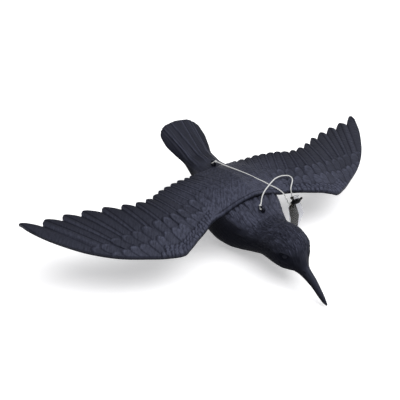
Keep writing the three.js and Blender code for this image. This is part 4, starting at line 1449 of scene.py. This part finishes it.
outer_film = pouch_loft(POUCH_RINGS, FILM_SIDES, FILM_ROWS, film_creases)
inner_film = pouch_loft(POUCH_RINGS, FILM_SIDES, FILM_ROWS, film_creases, inset=FILM_WALL)
count = FILM_SIDES * FILM_ROWS
film_faces = grid_faces(FILM_SIDES, FILM_ROWS, ring=True).tolist()
film_faces += grid_faces(FILM_SIDES, FILM_ROWS, start=count, ring=True, flip=True).tolist()
for i in range(FILM_SIDES):
    j = (i + 1) % FILM_SIDES
    here = i * FILM_ROWS + FILM_ROWS - 1
    there = j * FILM_ROWS + FILM_ROWS - 1
    film_faces.append([here, there, count + there, count + here])
film_faces.append([i * FILM_ROWS for i in reversed(range(FILM_SIDES))])
film_faces.append([count + i * FILM_ROWS for i in range(FILM_SIDES)])
film_points = np.concatenate([outer_film.reshape(-1, 3), inner_film.reshape(-1, 3)])
film = make_piece("pouch_film", film_points, film_faces)
print("film:", len(film_points), "points, wall", FILM_WALL, "mm")

# %% [markdown]
# The slip inside is a flat folded strip whose top reaches up through the tie. A plane with some
# thickness would do, but a loft through squarer rings follows the bag's bend and twist with it.
# Its map says how far across and how far up each point is, so that its two sides can differ.

# %% Slip
SLIP_RINGS = [
    [56, -6.2, 2.5, 0.6, 18], [53, -5.2, 2.1, 0.4, 20], [49.8, -2.5, 1.5, 0.35, 20],
    [46.5, -2.6, 2.2, 0.4, 14], [42, -3.9, 4.4, 0.8, 8], [38, -3.2, 5.4, 0.9, 4],
    [34, -2.2, 5.8, 1, 2], [28, -0.6, 6.2, 1, 0], [20, 0.5, 5.3, 1, 0], [10, 0.7, 5, 0.9, 0],
    [4, 0.6, 4.5, 0.6, 0],
]
SLIP_SIDES = 64
SLIP_ROWS = 60
SLIP_SQUARE = 3.2
SLIP_RIPPLE = {"size": 0.16, "across": 6, "climb": 0.1, "inset": 0.1}


def slip_ripple(angle, levels):
    """A faint waviness of the folded slip."""
    phase = SLIP_RIPPLE["across"] * np.cos(angle) + SLIP_RIPPLE["climb"] * levels
    return SLIP_RIPPLE["size"] * np.sin(phase) - SLIP_RIPPLE["inset"]


slip_grid = pouch_loft(SLIP_RINGS, SLIP_SIDES, SLIP_ROWS, slip_ripple, square=SLIP_SQUARE)
slip_faces = grid_faces(SLIP_SIDES, SLIP_ROWS, ring=True).tolist()
slip_faces.append([i * SLIP_ROWS for i in reversed(range(SLIP_SIDES))])
slip_faces.append([i * SLIP_ROWS + SLIP_ROWS - 1 for i in range(SLIP_SIDES)])
side_angle = 2 * np.pi * np.arange(SLIP_SIDES) / SLIP_SIDES
across_map = np.repeat(0.5 + 0.5 * np.cos(side_angle), SLIP_ROWS)
up_map = np.tile(np.arange(SLIP_ROWS) / SLIP_ROWS, SLIP_SIDES)
slip = make_piece("pouch_slip_paper", slip_grid.reshape(-1, 3), slip_faces,
                  {"paper": np.stack([across_map, up_map], -1)})
print("slip:", slip_grid.shape[0], "columns of", slip_grid.shape[1], "points")

# %% [markdown]
# The tie is a soft black strip. It starts as a short stub on one side, winds round the film's neck
# two and a half times, and leaves as a longer tail that sticks up on the other side. Rings and
# ends could be pieces of their own, but one tube along the whole way has no joints to hide.

# %% Tie
TIE_LEVELS = (49.7, 48.1)
TIE_REACH = (4.9, 2.8)
TIE_RADIUS = 1.5
TIE_SIDES = 10
TIE_STEP = 0.4
TIE_TILT = math.radians(22.5)
TIE_TURNS = (math.pi, 5 * math.pi, 6 * math.pi)
TIE_PLACES = (34, 9)
TIE_STUB = [[-6.2, 0.3, 45.2], [-5.6, 0.6, 45.9]]
TIE_TAIL = [[5.6, 0.8, 51.8], [6.3, 0.6, 52.9], [7.0, 0.3, 54.4]]


def round_neck(angle, level):
    """Places on the way round the film's neck, tilted as the bag is."""
    out = TIE_REACH[0] * np.cos(angle)
    deep = TIE_REACH[1] * np.sin(angle)
    return np.stack([out * math.cos(TIE_TILT), deep, level + out * math.sin(TIE_TILT)], -1)


wound = np.linspace(TIE_TURNS[0], TIE_TURNS[1], TIE_PLACES[0])
rise = np.interp(wound, [wound[0], wound[-1]], TIE_LEVELS[::-1])
half_more = np.linspace(TIE_TURNS[1], TIE_TURNS[2], TIE_PLACES[1])[1:]
tie_route = [TIE_STUB, round_neck(wound, rise), round_neck(half_more, TIE_LEVELS[0]), TIE_TAIL]
tie_path = smooth_path(np.vstack(tie_route), TIE_STEP)
tie_points, tie_faces, tie_yarn = tube(tie_path, TIE_RADIUS, TIE_SIDES)
tie_scene = beside_pouch(tie_points[:, 0], tie_points[:, 1], tie_points[:, 2])
tie = make_piece("pouch_tie_strip", tie_scene, tie_faces, {"yarn": tie_yarn})
print("tie", round(path_length(tie_path), 1), "mm long")

# %% [markdown]
# The finishes share two effects, so each is built once as a node group with named sockets. The
# nodes could be copied into every material, but then a change would have to be made in each. Three
# small helpers make a group, set a node's inputs and add a node.

# %% Helpers for node trees


def new_group(name, inputs, outputs):
    """An empty shader group with its named sockets. Returns the group and its two ends."""
    group = bpy.data.node_groups.new(name, "ShaderNodeTree")
    for label, kind, value in inputs:
        socket = group.interface.new_socket(name=label, in_out="INPUT", socket_type=kind)
        if value is not None:
            socket.default_value = value
    for label, kind in outputs:
        group.interface.new_socket(name=label, in_out="OUTPUT", socket_type=kind)
    start = group.nodes.new("NodeGroupInput")
    end = group.nodes.new("NodeGroupOutput")
    return group, start, end


def set_inputs(tree, node, inputs):
    """Sets a node's inputs to plain values, or links them where a socket is given."""
    for key, value in inputs.items():
        if isinstance(value, bpy.types.NodeSocket):
            tree.links.new(value, node.inputs[key])
        else:
            node.inputs[key].default_value = value


def add_node(tree, kind, inputs, **settings):
    """A node with its settings and its inputs."""
    node = tree.nodes.new(kind)
    for key, value in settings.items():
        setattr(node, key, value)
    set_inputs(tree, node, inputs)
    return node


print("node groups so far:", len(bpy.data.node_groups))

# %% [markdown]
# The first effect is combed strokes: noise stretched along the barbs, which gives the fine
# parallel lines of feathers. It could be a wave texture, but stretched noise has no even beat, as
# real moulded barbs have none.

# %% Combed strokes as a node group
STROKE_NOISE = {"Scale": 1.0, "Detail": 2.5, "Roughness": 0.55}
PLAIN_BARBS = (45.0, 4.0)

strokes_group, strokes_in, strokes_out = new_group(
    "combed_strokes",
    [("Place", "NodeSocketVector", None), ("Across", "NodeSocketFloat", PLAIN_BARBS[0]),
     ("Along", "NodeSocketFloat", PLAIN_BARBS[1])],
    [("Height", "NodeSocketFloat")],
)
stretch = add_node(strokes_group, "ShaderNodeCombineXYZ",
                   {"X": strokes_in.outputs["Across"], "Y": strokes_in.outputs["Along"]})
placed = add_node(strokes_group, "ShaderNodeVectorMath",
                  {0: strokes_in.outputs["Place"], 1: stretch.outputs[0]}, operation="MULTIPLY")
streaks = add_node(strokes_group, "ShaderNodeTexNoise",
                   {"Vector": placed.outputs[0]} | STROKE_NOISE, noise_dimensions="2D")
set_inputs(strokes_group, strokes_out, {"Height": streaks.outputs["Fac"]})
print("group:", strokes_group.name, "with", len(strokes_group.nodes), "nodes")

# %% [markdown]
# The second effect is moulded grain: the fine speckle of a satin plastic skin, with broader
# clouding. It lies in object space, because a finish without a map uses it too.

# %% Moulded grain as a node group
SPECKLE_NOISE = {"Detail": 2.0, "Roughness": 0.6}
CLOUD_NOISE = {"Detail": 3.0, "Roughness": 0.55}
PLAIN_GRAIN = (1400.0, 60.0)

grain_group, grain_in, grain_out = new_group(
    "moulded_grain",
    [("Fine Scale", "NodeSocketFloat", PLAIN_GRAIN[0]),
     ("Cloud Scale", "NodeSocketFloat", PLAIN_GRAIN[1])],
    [("Speckle", "NodeSocketFloat"), ("Cloud", "NodeSocketFloat")],
)
where = add_node(grain_group, "ShaderNodeTexCoord", {}).outputs["Object"]
speckle = add_node(grain_group, "ShaderNodeTexNoise",
                   {"Vector": where, "Scale": grain_in.outputs["Fine Scale"]} | SPECKLE_NOISE)
cloud = add_node(grain_group, "ShaderNodeTexNoise",
                 {"Vector": where, "Scale": grain_in.outputs["Cloud Scale"]} | CLOUD_NOISE)
set_inputs(grain_group, grain_out,
           {"Speckle": speckle.outputs["Fac"], "Cloud": cloud.outputs["Fac"]})
print("group:", grain_group.name, "with", len(grain_group.nodes), "nodes")

# %% [markdown]
# Every finish starts as a Principled shader, and most of its values come from noise. Noise stays
# near its middle, so one helper spreads a narrow range of it over the range that is wanted. A
# colour ramp could do that too, but a plain range is easier to read.

# %% Helpers for finishes
NOISE_MIDDLE = (0.35, 0.65)
NOISE_BROAD = (0.3, 0.7)
WHOLE = (0, 1)


def new_material(name):
    """A material with a Principled shader and nothing else yet."""
    material = bpy.data.materials.new(name)
    material.use_nodes = True
    shader = material.node_tree.nodes["Principled BSDF"]
    return material, material.node_tree, shader


def span(tree, value, source, target):
    """A value moved from one range to another, kept inside it."""
    ends = {"From Min": source[0], "From Max": source[1], "To Min": target[0], "To Max": target[1]}
    return add_node(tree, "ShaderNodeMapRange", {"Value": value} | ends).outputs["Result"]


def blend(tree, share, first, second):
    """Two colours mixed by a share."""
    mixed = add_node(tree, "ShaderNodeMix", {0: share, 6: first, 7: second}, data_type="RGBA")
    return mixed.outputs[2]


def combine(tree, operation, first, second):
    """Two values added or multiplied."""
    return add_node(tree, "ShaderNodeMath", {0: first, 1: second}, operation=operation).outputs[0]


def combed(tree, place, beat):
    """Combed strokes along a map, with their beat across and along it."""
    values = {"Place": place, "Across": beat[0], "Along": beat[1]}
    return add_node(tree, "ShaderNodeGroup", values, node_tree=strokes_group).outputs["Height"]


print("noise ranges:", NOISE_MIDDLE, NOISE_BROAD)

# %% [markdown]
# The black plastic is a dark blue-grey satin. Its colour is paler on the crests, partly as wear and
# partly as painted highlight, in uneven patches along the barbs. Painted shade makes it nearly black
# in the grooves and on the sides that turn down, where the gloss falls too. Barbs and grain go into
# the bump. Bump alone on one even colour would be simpler, but what reads as feathers in the
# picture is mostly tone. The wing and the body differ only in the beat and depth of their barbs.

# %% Black plastic
PLASTIC_DARK = (0.0060, 0.0064, 0.0112, 1)
PLASTIC_PALE = (0.0095, 0.0101, 0.0168, 1)
PLASTIC_WORN_AND_HIGHLIT = (0.058, 0.062, 0.094, 1)
GROOVE_PAINTED_SHADE = tuple(0.35 * c for c in PLASTIC_DARK[:3]) + (1,)
STROKE_DARKENS = (0.6, 0)
PATCH_RANGE = (0.6, 1.4)
WORN_AND_HIGHLIT_RANGE = (0, 0.8)
GROOVE_FROM = (0.1, 1)
GROOVE_RANGE = (0, 0.85)
ROUGH_RANGE = (0.41, 0.53)
GROOVE_ROUGHER = (0, 0.25)
SPECULAR_RANGE = (0.22, 0.03)
SPECULAR_TINT = (0.72, 0.77, 1.0, 1)
GRAIN_BUMP = {"Distance": 0.00008, "Strength": 0.6}
WING_BARBS = {"beat": (46, 3), "patches": (37, 14), "depth": 0.0007}
BODY_BARBS = {"beat": (34, 5), "patches": (54, 8), "depth": 0.0010}


def black_plastic(name, barbs):
    """Satin moulded plastic that reads the barbs and wear maps."""
    material, tree, shader = new_material(name)
    place = add_node(tree, "ShaderNodeUVMap", {}, uv_map="barbs").outputs[0]
    wear_and_painted_light = add_node(tree, "ShaderNodeUVMap", {}, uv_map="wear_and_painted_light").outputs[0]
    masks = add_node(tree, "ShaderNodeSeparateXYZ", {0: wear_and_painted_light})
    crest = masks.outputs["X"]
    painted_shade = masks.outputs["Y"]
    strokes = combed(tree, place, barbs["beat"])
    patches = span(tree, combed(tree, place, barbs["patches"]), NOISE_MIDDLE, PATCH_RANGE)
    grain = add_node(tree, "ShaderNodeGroup", {}, node_tree=grain_group)
    clouds = span(tree, grain.outputs["Cloud"], NOISE_MIDDLE, WHOLE)
    colour = blend(tree, clouds, PLASTIC_DARK, PLASTIC_PALE)
    colour = blend(tree, span(tree, strokes, NOISE_MIDDLE, STROKE_DARKENS), colour, PLASTIC_DARK)
    # Paler crests, partly wear and partly painted highlight, then painted shade darkening the grooves
    # and undersides.
    patchy = combine(tree, "MULTIPLY", crest, patches)
    colour = blend(tree, span(tree, patchy, WHOLE, WORN_AND_HIGHLIT_RANGE), colour, PLASTIC_WORN_AND_HIGHLIT)
    colour = blend(tree, span(tree, painted_shade, GROOVE_FROM, GROOVE_RANGE), colour, GROOVE_PAINTED_SHADE)
    rough = span(tree, grain.outputs["Speckle"], NOISE_BROAD, ROUGH_RANGE)
    rough = combine(tree, "ADD", rough, span(tree, painted_shade, WHOLE, GROOVE_ROUGHER))
    relief_height = combine(tree, "ADD", patchy, strokes)
    barb_bump = add_node(tree, "ShaderNodeBump",
                         {"Height": relief_height, "Distance": barbs["depth"], "Strength": 1.0})
    grain_bump = add_node(tree, "ShaderNodeBump",
                          {"Height": grain.outputs["Speckle"], "Normal": barb_bump.outputs[0]}
                          | GRAIN_BUMP)
    set_inputs(tree, shader, {
        "Base Color": colour, "Roughness": rough, "Normal": grain_bump.outputs[0],
        "Specular IOR Level": span(tree, painted_shade, WHOLE, SPECULAR_RANGE),
        "Specular Tint": SPECULAR_TINT,
    })
    return material


wing_plastic = black_plastic("wing_plastic", WING_BARBS)
body_plastic = black_plastic("black_plastic", BODY_BARBS)
print("plastics:", wing_plastic.name, body_plastic.name)

# %% [markdown]
# The cord is matt white yarn, a little grey between its fibres, which follow the lay. A pattern
# in object space would cut across the strands, so the fibres read the map along the cord.

# %% Cord finish
YARN_WHITE = (0.66, 0.66, 0.65, 1)
YARN_SHADE = (0.34, 0.35, 0.37, 1)
FIBRE_BEAT = (14, 120)
FIBRE_SHADE = (0, 0.5)
FIBRE_ROUGH = (0.75, 0.95)
FIBRE_DEPTH = 0.0002
YARN_SHEEN = 0.2


def cord_finish():
    """Twisted white yarn with fibres that follow the lay."""
    material, tree, shader = new_material("white_cord")
    yarn = add_node(tree, "ShaderNodeUVMap", {}, uv_map="yarn").outputs[0]
    fibres = combed(tree, yarn, FIBRE_BEAT)
    shaded = span(tree, fibres, NOISE_BROAD, FIBRE_SHADE)
    bump = add_node(tree, "ShaderNodeBump", {"Height": fibres, "Distance": FIBRE_DEPTH})
    set_inputs(tree, shader, {
        "Base Color": blend(tree, shaded, YARN_WHITE, YARN_SHADE),
        "Roughness": span(tree, fibres, NOISE_BROAD, FIBRE_ROUGH),
        "Normal": bump.outputs[0], "Sheen Weight": YARN_SHEEN,
    })
    return material


white_cord = cord_finish()
print("made", white_cord.name)

# %% [markdown]
# The film is clear and glossy, with a slight lilac tint and fine wrinkles. It could be a thin
# colour with alpha, but then its creases would lose their glints. It is glass that bends light
# less than window glass does, because the film is far thinner than its modelled wall.

# %% Film finish
FILM_CLEAR = (0.90, 0.905, 0.93, 1)
FILM_BEND = 1.36
FILM_ROUGH = (0.05, 0.14)
WRINKLE_SCALE = 160
WRINKLE_BUMP = {"Distance": 0.0004, "Strength": 0.6}


def film_finish():
    """Thin clear film with fine wrinkles."""
    material, tree, shader = new_material("clear_film")
    grain = add_node(tree, "ShaderNodeGroup", {"Fine Scale": WRINKLE_SCALE}, node_tree=grain_group)
    bump = add_node(tree, "ShaderNodeBump", {"Height": grain.outputs["Speckle"]} | WRINKLE_BUMP)
    set_inputs(tree, shader, {
        "Base Color": FILM_CLEAR, "Transmission Weight": 1.0, "IOR": FILM_BEND,
        "Roughness": span(tree, grain.outputs["Cloud"], NOISE_BROAD, FILM_ROUGH),
        "Normal": bump.outputs[0],
    })
    return material


clear_film = film_finish()
print("made", clear_film.name)

# %% [markdown]
# The slip is dull, brown toward one side, grey toward the other and paler at its foot. The tie is
# flat black, hardly worn. Both are matt with a fine speckle, so one function makes them, and the
# slip adds its own tints from its map. Three separate pieces of paper would show their seams.

# %% Slip and tie finishes
SLIP_BROWN = (0.030, 0.020, 0.008, 1)
SLIP_GREY = (0.030, 0.029, 0.028, 1)
SLIP_PALE = (0.034, 0.034, 0.034, 1)
SLIP_SURFACE = {"fine": 500, "rough": (0.67, 0.83), "depth": 0.00003, "specular": 0.2}
GREY_SIDE = (0.42, 0.62)
PALE_FOOT = (0.2, 0.55)
TINT_COVER = 0.9
TIE_BLACK = (0.003, 0.003, 0.004, 1)
TIE_WORN = (0.005, 0.005, 0.007, 1)
TIE_SURFACE = {"fine": 700, "rough": (0.47, 0.63), "depth": 0.00008, "specular": 0.12}
CLOUDS_LARGER = 6


def slip_tints(tree, colour):
    """The slip's grey side and its pale foot, laid over its colour."""
    paper = add_node(tree, "ShaderNodeUVMap", {}, uv_map="paper").outputs[0]
    place = add_node(tree, "ShaderNodeSeparateXYZ", {0: paper})
    grey = span(tree, place.outputs["X"], GREY_SIDE, (0, TINT_COVER))
    pale = span(tree, place.outputs["Y"], PALE_FOOT, (TINT_COVER, 0))
    return blend(tree, pale, blend(tree, grey, colour, SLIP_GREY), SLIP_PALE)


def speckled_finish(name, first, second, surface, tints=None):
    """A matt surface with clouded colour and fine speckle, and with its own tints if it has any."""
    material, tree, shader = new_material(name)
    scales = {"Fine Scale": surface["fine"], "Cloud Scale": surface["fine"] / CLOUDS_LARGER}
    grain = add_node(tree, "ShaderNodeGroup", scales, node_tree=grain_group)
    clouds = span(tree, grain.outputs["Cloud"], NOISE_MIDDLE, WHOLE)
    colour = blend(tree, clouds, first, second)
    bump = add_node(tree, "ShaderNodeBump",
                    {"Height": grain.outputs["Speckle"], "Distance": surface["depth"]})
    set_inputs(tree, shader, {
        "Base Color": tints(tree, colour) if tints else colour,
        "Roughness": span(tree, grain.outputs["Speckle"], NOISE_BROAD, surface["rough"]),
        "Specular IOR Level": surface["specular"], "Normal": bump.outputs[0],
    })
    return material


slip_paper = speckled_finish("folded_slip", SLIP_BROWN, SLIP_GREY, SLIP_SURFACE, slip_tints)
tie_black = speckled_finish("black_tie", TIE_BLACK, TIE_WORN, TIE_SURFACE)
print("materials:", len(bpy.data.materials))

# %% [markdown]
# Each piece gets its material and rides with the bird, and where it stands for a solid, that
# solid is hidden. The loops and knots take the cord's finish.

finish_piece(wing, wing_plastic, "wing_panel")
finish_piece(body, body_plastic, "body")
for piece in eyes + lugs:
    finish_piece(piece, body_plastic)
finish_piece(cord, white_cord, "cord")
for piece in tied:
    finish_piece(piece, white_cord)
finish_piece(film, clear_film, "pouch")
finish_piece(slip, slip_paper, "pouch_slip")
finish_piece(tie, tie_black, "pouch_tie")

# %% [markdown]
# The bird lies on a plain pale floor. A darker one would look like a table. This one glows
# a little, which keeps the bird's shadow pale.

# %% Floor
FLOOR_SIDE = 12.0
FLOOR_COLOUR = (0.86, 0.86, 0.87, 1)
FLOOR_GLOW = 0.45
FLOOR_GRAIN = 90
FLOOR_ROUGH = (0.85, 0.95)

half_floor = FLOOR_SIDE / 2
floor = make_piece(
    "floor",
    [[-half_floor, -half_floor, 0], [half_floor, -half_floor, 0], [half_floor, half_floor, 0],
     [-half_floor, half_floor, 0]],
    [[0, 1, 2, 3]],
)
floor_paint, floor_tree, floor_shader = new_material("floor_pale")
floor_grain = add_node(floor_tree, "ShaderNodeGroup", {"Fine Scale": FLOOR_GRAIN},
                       node_tree=grain_group)
set_inputs(floor_tree, floor_shader, {
    "Base Color": FLOOR_COLOUR, "Emission Color": FLOOR_COLOUR, "Emission Strength": FLOOR_GLOW,
    "Roughness": span(floor_tree, floor_grain.outputs["Speckle"], NOISE_BROAD, FLOOR_ROUGH),
})
floor.data.materials.append(floor_paint)
floor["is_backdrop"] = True
print("floor:", FLOOR_SIDE, "m square")

# %% [markdown]
# A large soft light hangs overhead, a little toward the head and the far wing, and a smaller and
# weaker one beyond it. The satin plastic mirrors a white surround softly. A sun lamp would be
# simpler, but its sharp shadows and glints would hide the low feathers.

# %% Lights
SURROUND = (1.0, 1.0, 1.0, 1)
SURROUND_STRENGTH = 0.42
LIGHTS = [
    {"name": "overhead", "place": (0.25, -0.3, 1.6), "size": 2.3, "watts": 29},
    {"name": "right_rim", "place": (0.9, -0.6, 1.2), "size": 0.9, "watts": 6},
]
LIGHTS_AIM = (0, 0, 0.05)

for light in LIGHTS:
    data = bpy.data.lights.new(light["name"], "AREA")
    data.shape = "DISK"
    data.size = light["size"]
    data.energy = light["watts"]
    lamp = bpy.data.objects.new(light["name"], data)
    bpy.context.scene.collection.objects.link(lamp)
    lamp.location = light["place"]
    aim = Vector(LIGHTS_AIM) - Vector(light["place"])
    lamp.rotation_euler = aim.to_track_quat("-Z", "Y").to_euler()

world = bpy.data.worlds.new("surround")
world.use_nodes = True
set_inputs(world.node_tree, world.node_tree.nodes["Background"],
           {"Color": SURROUND, "Strength": SURROUND_STRENGTH})
bpy.context.scene.world = world
bpy.context.scene.view_settings.view_transform = "Standard"
print("lights:", [light["name"] for light in LIGHTS])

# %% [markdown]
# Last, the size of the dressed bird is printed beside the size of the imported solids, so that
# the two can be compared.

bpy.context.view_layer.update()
for name, (low, high) in (("solids", CAD_BOX), ("dressed", [list(c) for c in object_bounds()])):
    print(name, "box in mm:", np.round((np.array(high) - np.array(low)) * 1000, 1).tolist())
